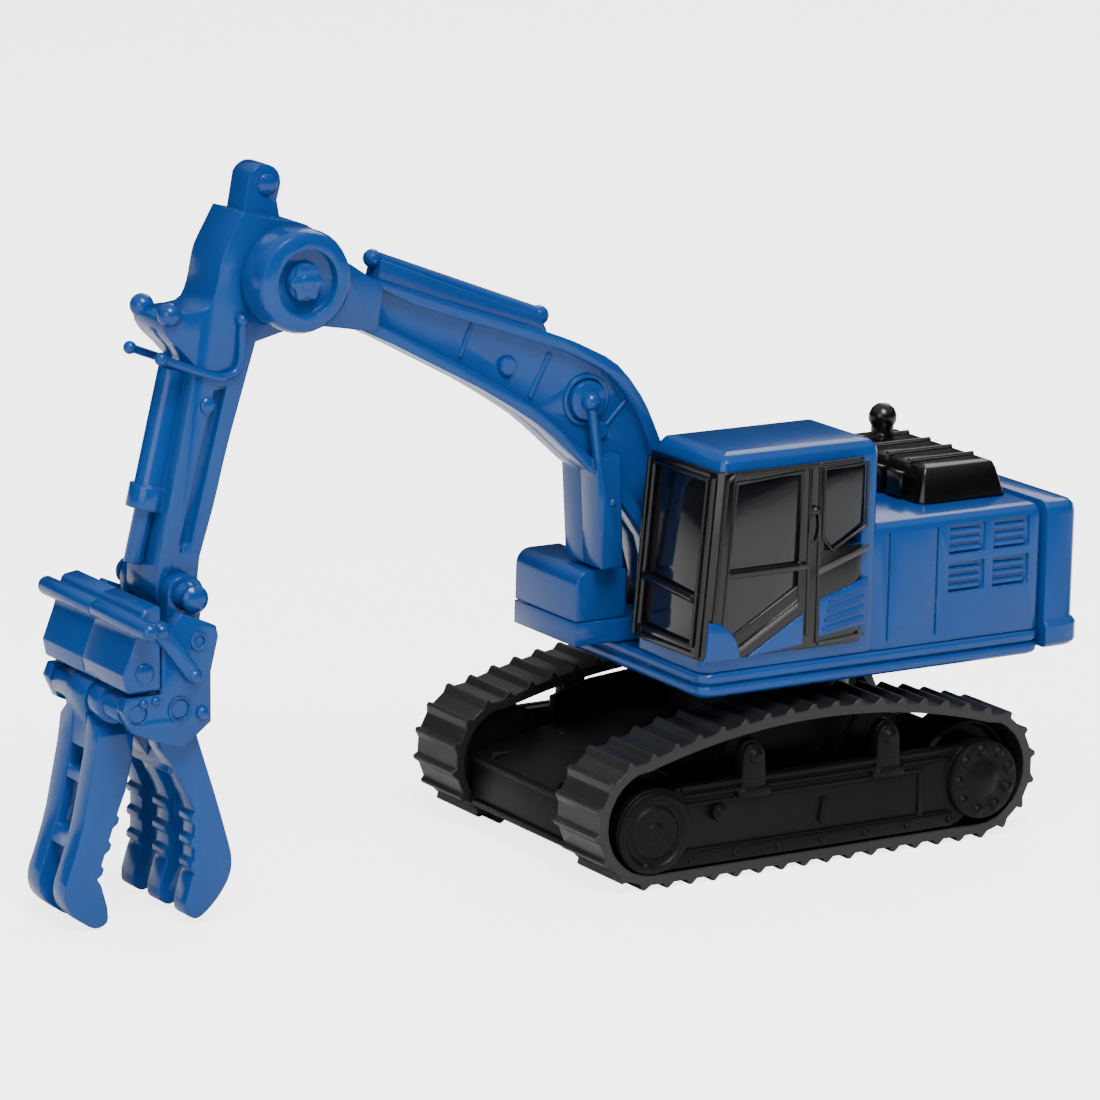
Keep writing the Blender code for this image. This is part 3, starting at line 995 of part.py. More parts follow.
# ---------------------------------------------------------------- assembly
front_wheelset = pivot("front_wheelset_pivot", FRONT_AXLE, machine)
rear_wheelset = pivot("rear_wheelset_pivot", REAR_AXLE, machine)
upper = pivot("slew_pivot", SLEW, machine)
boom = pivot("boom_pivot", FOOT, upper)
arm = pivot("arm_pivot", TIP, boom)
head = pivot("grapple_pivot", HEAD, arm)
front_jaw = pivot("front_jaw_pivot", FRONT_JAW, head)
rear_jaw = pivot("rear_jaw_pivot", REAR_JAW, head)

make_frame()
make_covers()
make_tracks()
make_wheels("front", FRONT_AXLE, front_wheelset)
make_wheels("rear", REAR_AXLE, rear_wheelset)
make_deck()
make_screws()
make_shell()
make_glazing()
make_cab_frame()
make_counterweight()
make_hood()
make_toolbox()
make_boom_bracket()
make_boom()
make_arm()
make_bracket()
make_housing()
make_pins()
make_front_jaw()
make_rear_jaw()
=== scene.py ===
"""Looks for the pocket grapple excavator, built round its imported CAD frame.

Shapes are made in millimetres, with the ground at Z = 0 and the middle of the tracks at Y = 0, and become
metres in the row's frame when they turn into a piece.
"""

import json
import math

import bmesh
import bpy
from mathutils import Matrix, Vector


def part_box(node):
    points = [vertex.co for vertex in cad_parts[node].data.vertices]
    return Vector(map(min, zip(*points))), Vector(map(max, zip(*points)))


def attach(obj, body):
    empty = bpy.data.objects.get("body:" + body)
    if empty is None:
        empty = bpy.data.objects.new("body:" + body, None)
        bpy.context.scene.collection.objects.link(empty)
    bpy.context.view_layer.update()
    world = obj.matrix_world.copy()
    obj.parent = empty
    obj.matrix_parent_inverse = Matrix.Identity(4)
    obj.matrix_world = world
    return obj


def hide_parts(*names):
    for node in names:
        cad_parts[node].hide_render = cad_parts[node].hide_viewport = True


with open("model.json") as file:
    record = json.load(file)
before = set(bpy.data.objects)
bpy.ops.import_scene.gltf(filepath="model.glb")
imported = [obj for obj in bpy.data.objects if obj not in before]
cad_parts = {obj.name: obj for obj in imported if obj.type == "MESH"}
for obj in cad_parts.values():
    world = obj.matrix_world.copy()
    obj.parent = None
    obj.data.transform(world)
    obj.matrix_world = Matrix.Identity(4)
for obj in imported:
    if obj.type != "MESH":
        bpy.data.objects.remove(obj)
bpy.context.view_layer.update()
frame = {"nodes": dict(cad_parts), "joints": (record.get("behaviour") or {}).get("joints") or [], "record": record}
nodes = frame["nodes"]

MILLIMETRES = 1000.0
track_low, track_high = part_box("left_track")
MIDDLE_Y = (track_low.y + track_high.y) / 2
TO_ROW = Matrix.Translation((0, MIDDLE_Y, 0)) @ Matrix.Scale(1 / MILLIMETRES, 4)
TO_DESIGN = TO_ROW.inverted()


def joint_at(name):
    """Where a joint is at rest, in millimetres."""
    found = next(joint for joint in frame["joints"] if joint["name"] == name)
    return TO_DESIGN @ Vector(found["pos_m"])


FOOT = joint_at("boom_lift")
TIP = joint_at("arm_swing")
HEAD = joint_at("head_tilt")
REAR_JAW = joint_at("rear_jaw_hinge")
KNEE = FOOT + Vector((0, -8.95, 15.6))     # the boom's bend
LEFT = (1, 0, 0)
UP = (0, 0, 1)


# ---------------------------------------------------------------- materials
SOFT_EDGE = 0.00022        # metres that an edge looks rounded by
WORN_EDGE = 0.00016        # metres of an edge that chips
PEEL_DEPTH = 0.00004       # metres
BARE_METAL = (0.55, 0.58, 0.62, 1)


def new_group(name, outputs):
    """An empty node group with its outputs, given as (label, socket type)."""
    group = bpy.data.node_groups.new(name, "ShaderNodeTree")
    for label, kind in outputs:
        group.interface.new_socket(label, in_out="OUTPUT", socket_type=kind)
    return group, group.nodes.new("NodeGroupOutput")


def add(tree, kind, **settings):
    """A node with its properties and input values set. Inputs are given by name, with _ for spaces."""
    node = tree.nodes.new(kind)
    for key, value in settings.items():
        if hasattr(node, key):
            setattr(node, key, value)
        else:
            node.inputs[key.replace("_", " ")].default_value = value
    return node


def ramp(tree, source, stops):
    """A colour ramp over a value, as (position, grey or colour) stops."""
    node = tree.nodes.new("ShaderNodeValToRGB")
    elements = node.color_ramp.elements
    while len(elements) < len(stops):
        elements.new(0.5)
    for element, (position, value) in zip(elements, stops):
        element.position = position
        element.color = (*value, 1) if isinstance(value, tuple) else (value, value, value, 1)
    tree.links.new(source, node.inputs["Fac"])
    return node.outputs["Color"]


def make_surface_group():
    """Cast and moulded skin: a slow drift, a mottle, a mask of the edges, and a normal with orange peel."""
    group, out = new_group("moulded_skin", (
        ("Drift", "NodeSocketFloat"), ("Mottle", "NodeSocketFloat"),
        ("Edge", "NodeSocketFloat"), ("Normal", "NodeSocketVector")))
    link = group.links.new
    place = add(group, "ShaderNodeTexCoord").outputs["Object"]
    drift = add(group, "ShaderNodeTexNoise", Scale=90.0, Detail=2.0)
    mottle = add(group, "ShaderNodeTexNoise", Scale=700.0, Detail=3.0)
    peel = add(group, "ShaderNodeTexNoise", Scale=1500.0, Detail=1.0)
    for texture in (drift, mottle, peel):
        link(place, texture.inputs["Vector"])
    soft = add(group, "ShaderNodeBevel", Radius=SOFT_EDGE, samples=4)
    bump = add(group, "ShaderNodeBump", Strength=0.12, Distance=PEEL_DEPTH)
    link(peel.outputs["Fac"], bump.inputs["Height"])
    link(soft.outputs["Normal"], bump.inputs["Normal"])
    wide = add(group, "ShaderNodeBevel", Radius=WORN_EDGE, samples=4)
    flat = add(group, "ShaderNodeNewGeometry")
    turn = add(group, "ShaderNodeVectorMath", operation="DOT_PRODUCT")
    link(wide.outputs["Normal"], turn.inputs[0])
    link(flat.outputs["Normal"], turn.inputs[1])
    edge = ramp(group, turn.outputs["Value"], ((0.80, 1.0), (0.95, 0.0)))
    link(drift.outputs["Fac"], out.inputs["Drift"])
    link(mottle.outputs["Fac"], out.inputs["Mottle"])
    link(edge, out.inputs["Edge"])
    link(bump.outputs["Normal"], out.inputs["Normal"])
    return group


SKIN = make_surface_group()


def material(name, dark, light, roughness, coat=0.0, chips=0.0, metallic=0.0, specular=0.5):
    """A Principled material on the moulded skin, between a dark and a light colour. Chips wear its edges."""
    made = bpy.data.materials.new(name)
    made.use_nodes = True
    tree = made.node_tree
    shader = tree.nodes["Principled BSDF"]
    skin = tree.nodes.new("ShaderNodeGroup")
    skin.node_tree = SKIN
    colour = ramp(tree, skin.outputs["Drift"], ((0.3, dark), (0.7, light)))
    if chips:
        place = add(tree, "ShaderNodeTexCoord").outputs["Object"]
        speck = add(tree, "ShaderNodeTexNoise", Scale=1900.0, Detail=2.0)
        tree.links.new(place, speck.inputs["Vector"])
        spots = ramp(tree, speck.outputs["Fac"], ((0.66, 0.0), (0.70, chips)))
        worn = add(tree, "ShaderNodeMath", operation="MULTIPLY")
        tree.links.new(spots, worn.inputs[0])
        tree.links.new(skin.outputs["Edge"], worn.inputs[1])
        mix = add(tree, "ShaderNodeMix", data_type="RGBA")
        tree.links.new(worn.outputs["Value"], mix.inputs["Factor"])
        tree.links.new(colour, mix.inputs["A"])
        mix.inputs["B"].default_value = BARE_METAL
        colour = mix.outputs["Result"]
    tree.links.new(colour, shader.inputs["Base Color"])
    gloss = add(tree, "ShaderNodeMapRange", To_Min=roughness * 0.85, To_Max=roughness * 1.2)
    tree.links.new(skin.outputs["Mottle"], gloss.inputs["Value"])
    tree.links.new(gloss.outputs["Result"], shader.inputs["Roughness"])
    tree.links.new(skin.outputs["Normal"], shader.inputs["Normal"])
    shader.inputs["Metallic"].default_value = metallic
    shader.inputs["Specular IOR Level"].default_value = specular
    shader.inputs["Coat Weight"].default_value = coat
    shader.inputs["Coat Roughness"].default_value = 0.07
    return made


BLUE = material("blue_enamel", (0.0008, 0.044, 0.21), (0.0013, 0.056, 0.25),
                roughness=0.2, coat=0.3, chips=0.25, specular=0.25)
BLACK = material("satin_black_plastic", (0.0022, 0.0022, 0.0024), (0.004, 0.004, 0.0042),
                 roughness=0.42, specular=0.14)
GLOSS_BLACK = material("gloss_black_plastic", (0.002, 0.002, 0.0022), (0.0032, 0.0032, 0.0035),
                       roughness=0.2, chips=0.2)
RUBBER = material("belt_rubber", (0.0075, 0.0075, 0.0078), (0.012, 0.012, 0.0123), roughness=0.42)
GLASS = material("smoke_glazing", (0.004, 0.0045, 0.006), (0.006, 0.0065, 0.009),
                 roughness=0.08, coat=0.3, specular=0.4)
STEEL = material("rivet_steel", (0.42, 0.42, 0.43), (0.6, 0.6, 0.61), roughness=0.3, metallic=1.0)
# Dark grey painted highlight: the sheen along the black gloss ledges, painted into their colour.
PAINTED_HIGHLIGHT_GREY = material("grey_painted_highlight", (0.035, 0.034, 0.033), (0.06, 0.058, 0.056), roughness=0.28, specular=0.6)
SLOT_MATERIAL = {"blue_paint": BLUE, "black_plastic": BLACK, "black_rubber": RUBBER,
                 "smoke_glazing": GLASS, "black_gloss": GLOSS_BLACK, "steel": STEEL}
MATERIAL_SLOT = {made: slot for slot, made in SLOT_MATERIAL.items()}
MATERIAL_SLOT[PAINTED_HIGHLIGHT_GREY] = "black_gloss"      # the grey trim, a painted highlight on black gloss, has no slot of its own
NODE_SLOT = {row["node"]: row["material_slot"] for row in frame["record"]["subparts"]}


# ---------------------------------------------------------------- shapes, in millimetres
SHARP_CORNER = math.radians(28)      # a corner this sharp is rounded
SHARP_EDGE = math.radians(38)        # an edge this sharp is shaded sharp
FLAT_EDGE = math.radians(2.0)        # an edge this flat is left out of a casting
SAME_POINT = 0.004
SIDE_VIEW = Matrix(((0, 0, 1, 0), (1, 0, 0, 0), (0, 1, 0, 0), (0, 0, 0, 1)))      # from (y, z, x)


def as_object(name, mesh):
    made = bpy.data.objects.new(name, mesh)
    bpy.context.scene.collection.objects.link(made)
    return made


def baked(shape):
    """The shape's mesh with its modifiers applied. The shape itself is removed."""
    graph = bpy.context.evaluated_depsgraph_get()
    mesh = bpy.data.meshes.new_from_object(shape.evaluated_get(graph))
    mesh.transform(shape.matrix_world)
    bpy.data.objects.remove(shape, do_unlink=True)
    return mesh


def from_bmesh(bm, rounding=0.0):
    """A mesh from faces, with its sharp edges rounded."""
    bmesh.ops.recalc_face_normals(bm, faces=bm.faces)
    mesh = bpy.data.meshes.new("shape")
    bm.to_mesh(mesh)
    bm.free()
    return rounded(mesh, rounding) if rounding else mesh


def rounded(mesh, width, segments=2):
    shape = as_object("shape", mesh)
    bevel = shape.modifiers.new("rounded_edges", "BEVEL")
    bevel.width = width
    bevel.segments = segments
    bevel.limit_method = "ANGLE"
    bevel.angle_limit = SHARP_CORNER
    bevel.use_clamp_overlap = True
    return baked(shape)


def block(low, high, rounding):
    bm = bmesh.new()
    bmesh.ops.create_cube(bm, size=1.0)
    bmesh.ops.scale(bm, vec=Vector(high) - Vector(low), verts=bm.verts)
    bmesh.ops.translate(bm, vec=(Vector(low) + Vector(high)) / 2, verts=bm.verts)
    return from_bmesh(bm, rounding)


def rod(start, end, radius, sides, rounding):
    start, end = Vector(start), Vector(end)
    bm = bmesh.new()
    bmesh.ops.create_cone(bm, cap_ends=True, segments=sides, radius1=radius, radius2=radius,
                          depth=(end - start).length)
    turn = Vector(UP).rotation_difference(end - start).to_matrix().to_4x4()
    bmesh.ops.transform(bm, matrix=Matrix.Translation((start + end) / 2) @ turn, verts=bm.verts)
    return from_bmesh(bm, rounding)


def ball(centre, radius):
    bm = bmesh.new()
    bmesh.ops.create_uvsphere(bm, u_segments=24, v_segments=14, radius=radius)
    bmesh.ops.translate(bm, vec=centre, verts=bm.verts)
    return from_bmesh(bm)


def lathe(profile, centre, axis=LEFT, sides=48):
    """A profile of (distance along the axis, radius) turned round an axis through a point."""
    bm = bmesh.new()
    rings = []
    turns = [math.tau * i / sides for i in range(sides)]
    for along, radius in profile:
        rings.append([bm.verts.new((radius * math.cos(t), radius * math.sin(t), along)) for t in turns])
    for lower, upper in zip(rings, rings[1:]):
        for i in range(sides):
            j = (i + 1) % sides
            bm.faces.new((lower[i], lower[j], upper[j], upper[i]))
    bm.faces.new(rings[0])
    bm.faces.new(rings[-1])
    turn = Vector(UP).rotation_difference(Vector(axis)).to_matrix().to_4x4()
    bmesh.ops.transform(bm, matrix=Matrix.Translation(centre) @ turn, verts=bm.verts)
    return from_bmesh(bm)


def slab(outlines, low, high, rounding=0.08):
    """Side-view outlines made thick, with rounded rims. The first is the outside and the others are holes."""
    curve = bpy.data.curves.new("outline", "CURVE")
    curve.dimensions = "2D"
    curve.fill_mode = "BOTH"
    curve.extrude = (high - low) / 2 - rounding
    curve.bevel_depth = rounding
    curve.bevel_resolution = 1
    curve.offset = -rounding
    for outline in outlines:
        spline = curve.splines.new("POLY")
        spline.points.add(len(outline) - 1)
        for point, (a, b) in zip(spline.points, outline):
            point.co = (a, b, 0, 1)
        spline.use_cyclic_u = True
    guide = as_object("outline", curve)
    guide.matrix_world = SIDE_VIEW @ Matrix.Translation((0, 0, (low + high) / 2))
    mesh = baked(guide)
    bm = bmesh.new()
    bm.from_mesh(mesh)
    bmesh.ops.remove_doubles(bm, verts=bm.verts, dist=0.002)
    bmesh.ops.recalc_face_normals(bm, faces=bm.faces)
    bm.to_mesh(mesh)
    bm.free()
    return mesh


def tube(points, radius, closed=False):
    """A round bead or pipe along points."""
    curve = bpy.data.curves.new("bead", "CURVE")
    curve.dimensions = "3D"
    curve.bevel_depth = radius
    curve.bevel_resolution = 4
    curve.use_fill_caps = True
    spline = curve.splines.new("POLY")
    spline.points.add(len(points) - 1)
    for point, place in zip(spline.points, points):
        point.co = (*place, 1)
    spline.use_cyclic_u = closed
    return baked(as_object("bead", curve))


def arc(centre, radius, start, end, steps):
    """Points along an arc, from one angle to another in degrees."""
    turns = [math.radians(start + (end - start) * i / steps) for i in range(steps + 1)]
    return [(centre[0] + radius * math.cos(t), centre[1] + radius * math.sin(t)) for t in turns]


def smooth_line(points, steps=6):
    """A smooth curve through points."""
    points = [Vector(point) for point in points]
    ends = [points[0] * 2 - points[1]] + points + [points[-1] * 2 - points[-2]]
    line = []
    for a, b, c, d in zip(ends, ends[1:], ends[2:], ends[3:]):
        for i in range(steps):
            t = i / steps
            line.append((b * 2 + (c - a) * t + (a * 2 - b * 5 + c * 4 - d) * t ** 2
                         + (b * 3 - a - c * 3 + d) * t ** 3) / 2)
    return line + [points[-1]]


def around(base, *offsets):
    """Side-view points given as (y, z) offsets from a pin."""
    return [(base.y + dy, base.z + dz) for dy, dz in offsets]


def mirrored(mesh):
    """The mesh on the other side of the machine."""
    copy = mesh.copy()
    copy.transform(Matrix.Scale(-1, 4, (1, 0, 0)))
    copy.flip_normals()
    return copy


def piece(name, meshes, finish, body, replaces=()):
    """Joins shapes into one piece that rides on a body, takes one material and may stand for CAD nodes."""
    bm = bmesh.new()
    for mesh in meshes:
        bm.from_mesh(mesh)
        bpy.data.meshes.remove(mesh)
    mesh = bpy.data.meshes.new(name)
    bm.to_mesh(mesh)
    bm.free()
    mesh.transform(TO_ROW)
    mesh.shade_smooth()
    mesh.set_sharp_from_angle(angle=SHARP_EDGE)
    mesh.materials.append(finish)
    made = as_object(name, mesh)
    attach(made, body)
    if replaces:
        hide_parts(*replaces)


def cast(node, width, segments=2, cuts=()):
    """A CAD node's shape with grooves cut and its edges rounded, as a die leaves them."""
    mesh = nodes[node].data.copy()
    mesh.transform(TO_DESIGN)
    bm = bmesh.new()
    bm.from_mesh(mesh)
    bmesh.ops.remove_doubles(bm, verts=bm.verts, dist=SAME_POINT)
    bmesh.ops.dissolve_limit(bm, angle_limit=FLAT_EDGE, verts=bm.verts, edges=bm.edges)
    bm.to_mesh(mesh)
    bm.free()
    mesh.materials.clear()
    if cuts:
        shape = as_object("casting", mesh)
        tools = [as_object("groove", tool) for tool in cuts]
        for tool in tools:
            groove = shape.modifiers.new("groove", "BOOLEAN")
            groove.operation = "DIFFERENCE"
            groove.object = tool
        mesh = baked(shape)
        for tool in tools:
            bpy.data.objects.remove(tool, do_unlink=True)
    return rounded(mesh, width, segments)


# ---------------------------------------------------------------- camera, light and floor
def aim(name, location, azimuth, elevation, roll):
    """A camera that looks along a direction given in degrees."""
    a, e, r = (math.radians(value) for value in (azimuth, elevation, roll))
    back = Vector((math.sin(a) * math.cos(e), -math.cos(a) * math.cos(e), math.sin(e)))
    right = Vector((math.cos(a), math.sin(a), 0))
    up = back.cross(right)
    turned_right = right * math.cos(r) + up * math.sin(r)
    turned_up = up * math.cos(r) - right * math.sin(r)
    camera = bpy.data.objects.new(name, bpy.data.cameras.new(name))
    basis = Matrix((turned_right, turned_up, back)).transposed().to_4x4()
    camera.matrix_world = Matrix.Translation(TO_ROW @ Vector(location)) @ basis
    bpy.context.scene.collection.objects.link(camera)
    return camera


def make_camera():
    camera = aim("camera", (365.35, -245.4, 125.04), azimuth=57.92, elevation=13.24, roll=1.18)
    camera.data.lens = 190.8
    camera.data.sensor_width = 36
    camera.data.clip_start, camera.data.clip_end = 0.01, 20
    bpy.context.scene.camera = camera


def make_world():
    """A studio that is dark at the horizon and bright overhead."""
    world = bpy.data.worlds.new("studio")
    world.use_nodes = True
    tree = world.node_tree
    height = tree.nodes.new("ShaderNodeSeparateXYZ")
    tree.links.new(add(tree, "ShaderNodeTexCoord").outputs["Generated"], height.inputs["Vector"])
    sky = ramp(tree, height.outputs["Z"], ((0.3, 0.06), (0.75, 1.0)))
    background = tree.nodes["Background"]
    tree.links.new(sky, background.inputs["Color"])
    background.inputs["Strength"].default_value = 0.7
    bpy.context.scene.world = world


def make_lights():
    """Soft lamps that look at the machine, with places and sizes in metres and powers in watts."""
    middle = Vector((0, 0, 0.02))
    for name, place, size, power in (
            ("key_light", (0.30, -0.10, 0.50), 0.24, 3.6),
            ("fill_light", (0.35, -0.55, 0.22), 0.40, 1.3),
            ("rear_light", (-0.30, 0.35, 0.40), 0.30, 0.7)):
        light = bpy.data.lights.new(name, "AREA")
        light.energy = power
        light.size = size
        lamp = as_object(name, light)
        lamp.location = place
        lamp.rotation_mode = "QUATERNION"
        lamp.rotation_quaternion = (Vector(place) - middle).to_track_quat("Z", "Y")


def make_floor():
    """White paper that looks brighter to the camera than the light it gives back."""
    bm = bmesh.new()
    bmesh.ops.create_grid(bm, x_segments=2, y_segments=2, size=3.0)
    mesh = bpy.data.meshes.new("floor")
    bm.to_mesh(mesh)
    bm.free()
    floor = as_object("floor", mesh)
    paper = bpy.data.materials.new("studio_paper")
    paper.use_nodes = True
    tree = paper.node_tree
    shader = tree.nodes["Principled BSDF"]
    grain = add(tree, "ShaderNodeTexNoise", Scale=400.0, Detail=3.0)
    shade = ramp(tree, grain.outputs["Fac"], ((0.3, 0.93), (0.7, 0.96)))
    tree.links.new(shade, shader.inputs["Base Color"])
    shader.inputs["Roughness"].default_value = 0.8
    glow = add(tree, "ShaderNodeMath", operation="MULTIPLY")
    glow.inputs[1].default_value = 3.2
    tree.links.new(add(tree, "ShaderNodeLightPath").outputs["Is Camera Ray"], glow.inputs[0])
    tree.links.new(glow.outputs["Value"], shader.inputs["Emission Strength"])
    shader.inputs["Emission Color"].default_value = (1, 1, 1, 1)
    mesh.materials.append(paper)


def colour_cad_nodes():
    """Gives every CAD node its slot's material."""
    for node, shown in nodes.items():
        shown.data.materials.clear()
        shown.data.materials.append(SLOT_MATERIAL[NODE_SLOT[node]])


# ---------------------------------------------------------------- undercarriage
SIDE_FRAME_FACE = 13.15
LOWER_BOLT_PITCH = 3.984
WHEEL_BOLTS = 9


def dome(centre, radius, height, axis=LEFT, sides=20):
    """A low rivet head or bolt dome that stands on a face."""
    profile = [(-0.1, radius), (height * 0.35, radius), (height * 0.75, radius * 0.75),
               (height * 0.95, radius * 0.4), (height, radius * 0.05)]
    return lathe(profile, centre, axis, sides)


def ring_shape(centre, radius, width, start, end):
    """A flat ring round a side-view point. It stops just short of closing."""
    rims = [arc(centre, reach, 0, 350, 35) for reach in (radius, radius - width)]
    return slab(rims, start, end, rounding=0.06)


def side_frame_fittings():
    """What is moulded on a side frame: ridges, idler ring, bolted hub, lower bolts and roller brackets."""
    face = SIDE_FRAME_FACE
    meshes = [block((face - 0.2, *low), (face + stand, *high), rounding)
              for low, high, stand, rounding in (
                  ((-12.6, 7.32), (12.6, 7.68), 0.3, 0.12),
                  ((-12.3, 6.72), (12.4, 6.98), 0.18, 0.1),
                  ((-15.2, 6.05), (9.6, 6.32), 0.22, 0.1),
                  ((9.2, 2.6), (9.7, 6.3), 0.22, 0.1),
                  ((-15.2, 2.42), (12.2, 2.66), 0.2, 0.1))]
    idler = [(-0.1, 3.25), (0.28, 3.2), (0.42, 3.0), (0.42, 2.7), (0.2, 2.5), (0.16, 2.1),
             (0.34, 1.9), (0.34, 0.8), (0.5, 0.6), (0.5, 0.05)]
    meshes.append(lathe(idler, (face, -15.0, 4.45)))
    hub = [(-0.1, 3.0), (0.14, 3.05), (0.22, 2.9), (0.1, 2.0), (0.14, 1.5), (0.36, 1.15),
           (0.56, 0.6), (0.6, 0.05)]
    meshes.append(lathe(hub, (face + 0.65, 15.0, 4.86)))
    for i in range(WHEEL_BOLTS):
        angle = 18 + 360 // WHEEL_BOLTS * i
        y, z = arc((15.0, 4.86), 2.42, angle, angle, 1)[0]
        meshes.append(dome((face + 0.75, y, z), 0.42, 0.38))
    for i in range(8):
        meshes.append(dome((face + 0.2, LOWER_BOLT_PITCH * (i - 1) - 11.69, 1.9), 0.3, 0.26, sides=6))
    meshes.append(rod((face - 0.2, -9.2, 5.3), (face + 0.42, -9.2, 5.3), 0.72, sides=6, rounding=0.08))
    meshes.append(rod((face + 0.1, -9.2, 5.3), (face + 0.55, -9.2, 5.3), 0.36, sides=12, rounding=0.08))
    drop = arc((0.5, 3.55), 0.5, -180, 0, 8) + [(0.72, 5.2), (0.28, 5.2)]
    meshes.append(slab([drop], face - 0.1, face + 0.26, rounding=0.1))
    for y in (-6.2, 6.2):
        bracket = [(y - 1.15, 6.4), (y + 1.15, 6.4)] + arc((y, 9.3), 1.0, 0, 180, 10)
        meshes.append(slab([bracket], face - 0.5, face + 0.36, rounding=0.16))
        meshes.append(dome((face + 0.3, y, 9.35), 0.55, 0.45))
        meshes.append(block((face - 0.2, y - 1.5, 6.1), (face + 0.5, y + 1.5, 6.9), 0.2))
        meshes.append(dome((face + 0.35, y - 0.9, 6.5), 0.3, 0.3))
    return meshes


def inner_web():
    """The web behind the rollers, with its slanted ribs."""
    outline = [(-10.6, 6.6), (10.6, 6.6), (10.6, 9.4), (7.0, 10.4), (0.0, 11.0), (-7.0, 10.4), (-10.6, 9.4)]
    meshes = [slab([outline], 8.4, 9.0, rounding=0.1)]
    for y in (-9.4, -7.2, 2.4, 4.4, 9.0):
        meshes.append(tube([(9.0, y, 7.4), (9.0, y + 1.9, 10.2)], 0.16))
    return meshes


def make_undercarriage():
    for node, width in (("undercarriage_frame", 0.25), ("left_side_frame", 0.14), ("right_side_frame", 0.14)):
        piece(node + "_cast", [cast(node, width)], BLACK, "undercarriage", [node])
    for name, meshes in (("frame_fittings", side_frame_fittings()), ("inner_web", inner_web())):
        piece("right_" + name, [mirrored(mesh) for mesh in meshes], BLACK, "undercarriage")
        piece("left_" + name, meshes, BLACK, "undercarriage")
    ribs = [block((-6.6, -18.9, 2.2), (6.6, -18.55, 2.7), 0.1),
            block((-6.6, -18.9, 5.6), (6.6, -18.5, 6.1), 0.1),
            block((-6.6, 18.5, 5.6), (6.6, 18.9, 6.1), 0.1)]
    for x in (-4.6, 4.6):
        ribs.append(block((x - 0.3, -18.4, 6.0), (x + 0.3, -15.4, 6.75), 0.12))
        ribs.append(dome((x, -12.0, 7.45), 0.6, 0.45, UP))
        ribs.append(dome((x, 14.0, 7.45), 0.6, 0.45, UP))
    piece("frame_ribs", ribs, BLACK, "undercarriage")


# ---------------------------------------------------------------- upper structure
CAB_SIDE = 12.76
PANE_SIDES = (12.42, 12.6)
DOOR = [(-8.95, 18.2), (-7.5, 18.0), (-2.35, 21.0), (-2.2, 30.5), (-7.9, 30.1)]
QUARTER = [(0.1, 25.6), (0.9, 24.7), (3.7, 26.2), (3.7, 30.6), (0.1, 30.5)]
CAB_FOOT_Y, CAB_FOOT_Z = -10.86, 15.98
CAB_LEAN, CAB_RISE = 1.3, 15.4        # the cab's front leans back by one over the other


def bead(outline, x, radius):
    """A round bead along a closed side-view outline."""
    return tube([(x, y, z) for y, z in outline], radius, True)


def shrunk(outline, share):
    """The outline scaled about its middle."""
    middle = sum((Vector(point) for point in outline), Vector((0, 0))) / len(outline)
    return [tuple(middle + (Vector(point) - middle) * share) for point in outline]


def on_cab(outline, stand, rounding):
    """A plate that stands on the cab's left side."""
    return slab([outline], CAB_SIDE - 0.2, CAB_SIDE + stand, rounding=rounding)


def make_cab():
    piece("cab_frame_cast", [cast("cab_frame", 0.12)], GLOSS_BLACK, "upper", ["cab_frame"])
    turns = [math.tau * i / 16 for i in range(16)]
    handle = [(CAB_SIDE + 0.12, -0.92 + 0.42 * math.sin(t), 26.5 + 1.25 * math.cos(t)) for t in turns]
    gutter = CAB_SIDE - 0.05
    trim = [bead(shrunk(DOOR, 1.05), CAB_SIDE - 0.02, 0.16),
            bead(shrunk(QUARTER, 1.1), CAB_SIDE - 0.02, 0.15),
            block((CAB_SIDE - 0.2, -1.5, 18.0), (CAB_SIDE + 0.14, -1.22, 31.2), 0.1),
            block((CAB_SIDE - 0.2, -0.56, 17.3), (CAB_SIDE + 0.14, -0.28, 31.3), 0.1),
            block((CAB_SIDE - 0.5, -8.75, 23.1), (CAB_SIDE + 0.2, -1.4, 23.86), 0.28),
            tube(handle, 0.13, True),
            ball((CAB_SIDE + 0.1, -0.92, 27.7), 0.36),
            tube([(gutter, -10.0, 17.2), (gutter, -8.85, 30.6),
                  (gutter, -8.2, 31.1), (gutter, 3.2, 31.25)], 0.17)]
    piece("door_trim", trim, GLOSS_BLACK, "upper")
    # The sill ledges are black gloss; their grey colour is a painted highlight of that gloss.
    ledges = [on_cab([(-0.5, 22.6), (4.1, 24.1), (4.1, 24.5), (-0.5, 23.1)], 0.22, 0.1),
              on_cab([(-7.5, 17.35), (-2.25, 20.35), (-2.25, 20.75), (-7.6, 17.75)], 0.18, 0.1),
              tube([(CAB_SIDE + 0.02, -0.3, 17.25), (CAB_SIDE + 0.02, 3.9, 17.55)], 0.13)]
    piece("sill_ledges", ledges, PAINTED_HIGHLIGHT_GREY, "upper")
    panels = [on_cab([(-0.3, 17.75), (4.1, 18.35), (4.15, 22.0), (-0.3, 20.7)], 0.12, 0.08),
              on_cab([(-6.8, 16.95), (-1.75, 17.35), (-1.75, 19.75)], 0.14, 0.08),
              on_cab([(-10.5, 16.9), (-7.35, 16.9)] + arc((-10.5, 16.9), 3.1, 8, 84, 8), 0.14, 0.1)]
    for i in range(4):
        panels.append(tube([(CAB_SIDE + 0.12, 0.1 + 0.15 * i, 18.35 + 0.72 * i),
                            (CAB_SIDE + 0.12, 3.75, 18.95 + 0.8 * i)], 0.17))
    piece("door_panels", panels, BLUE, "upper")
    panes = [slab([shrunk(window, 1.03)], *PANE_SIDES, rounding=0.04) for window in (DOOR, QUARTER)]
    piece("side_panes", panes, GLASS, "upper")


def front_place(x, z, out):
    """A point that stands out by so much from the leaning front of the cab."""
    return (x, CAB_FOOT_Y + CAB_LEAN * (z - CAB_FOOT_Z) / CAB_RISE - out, z)


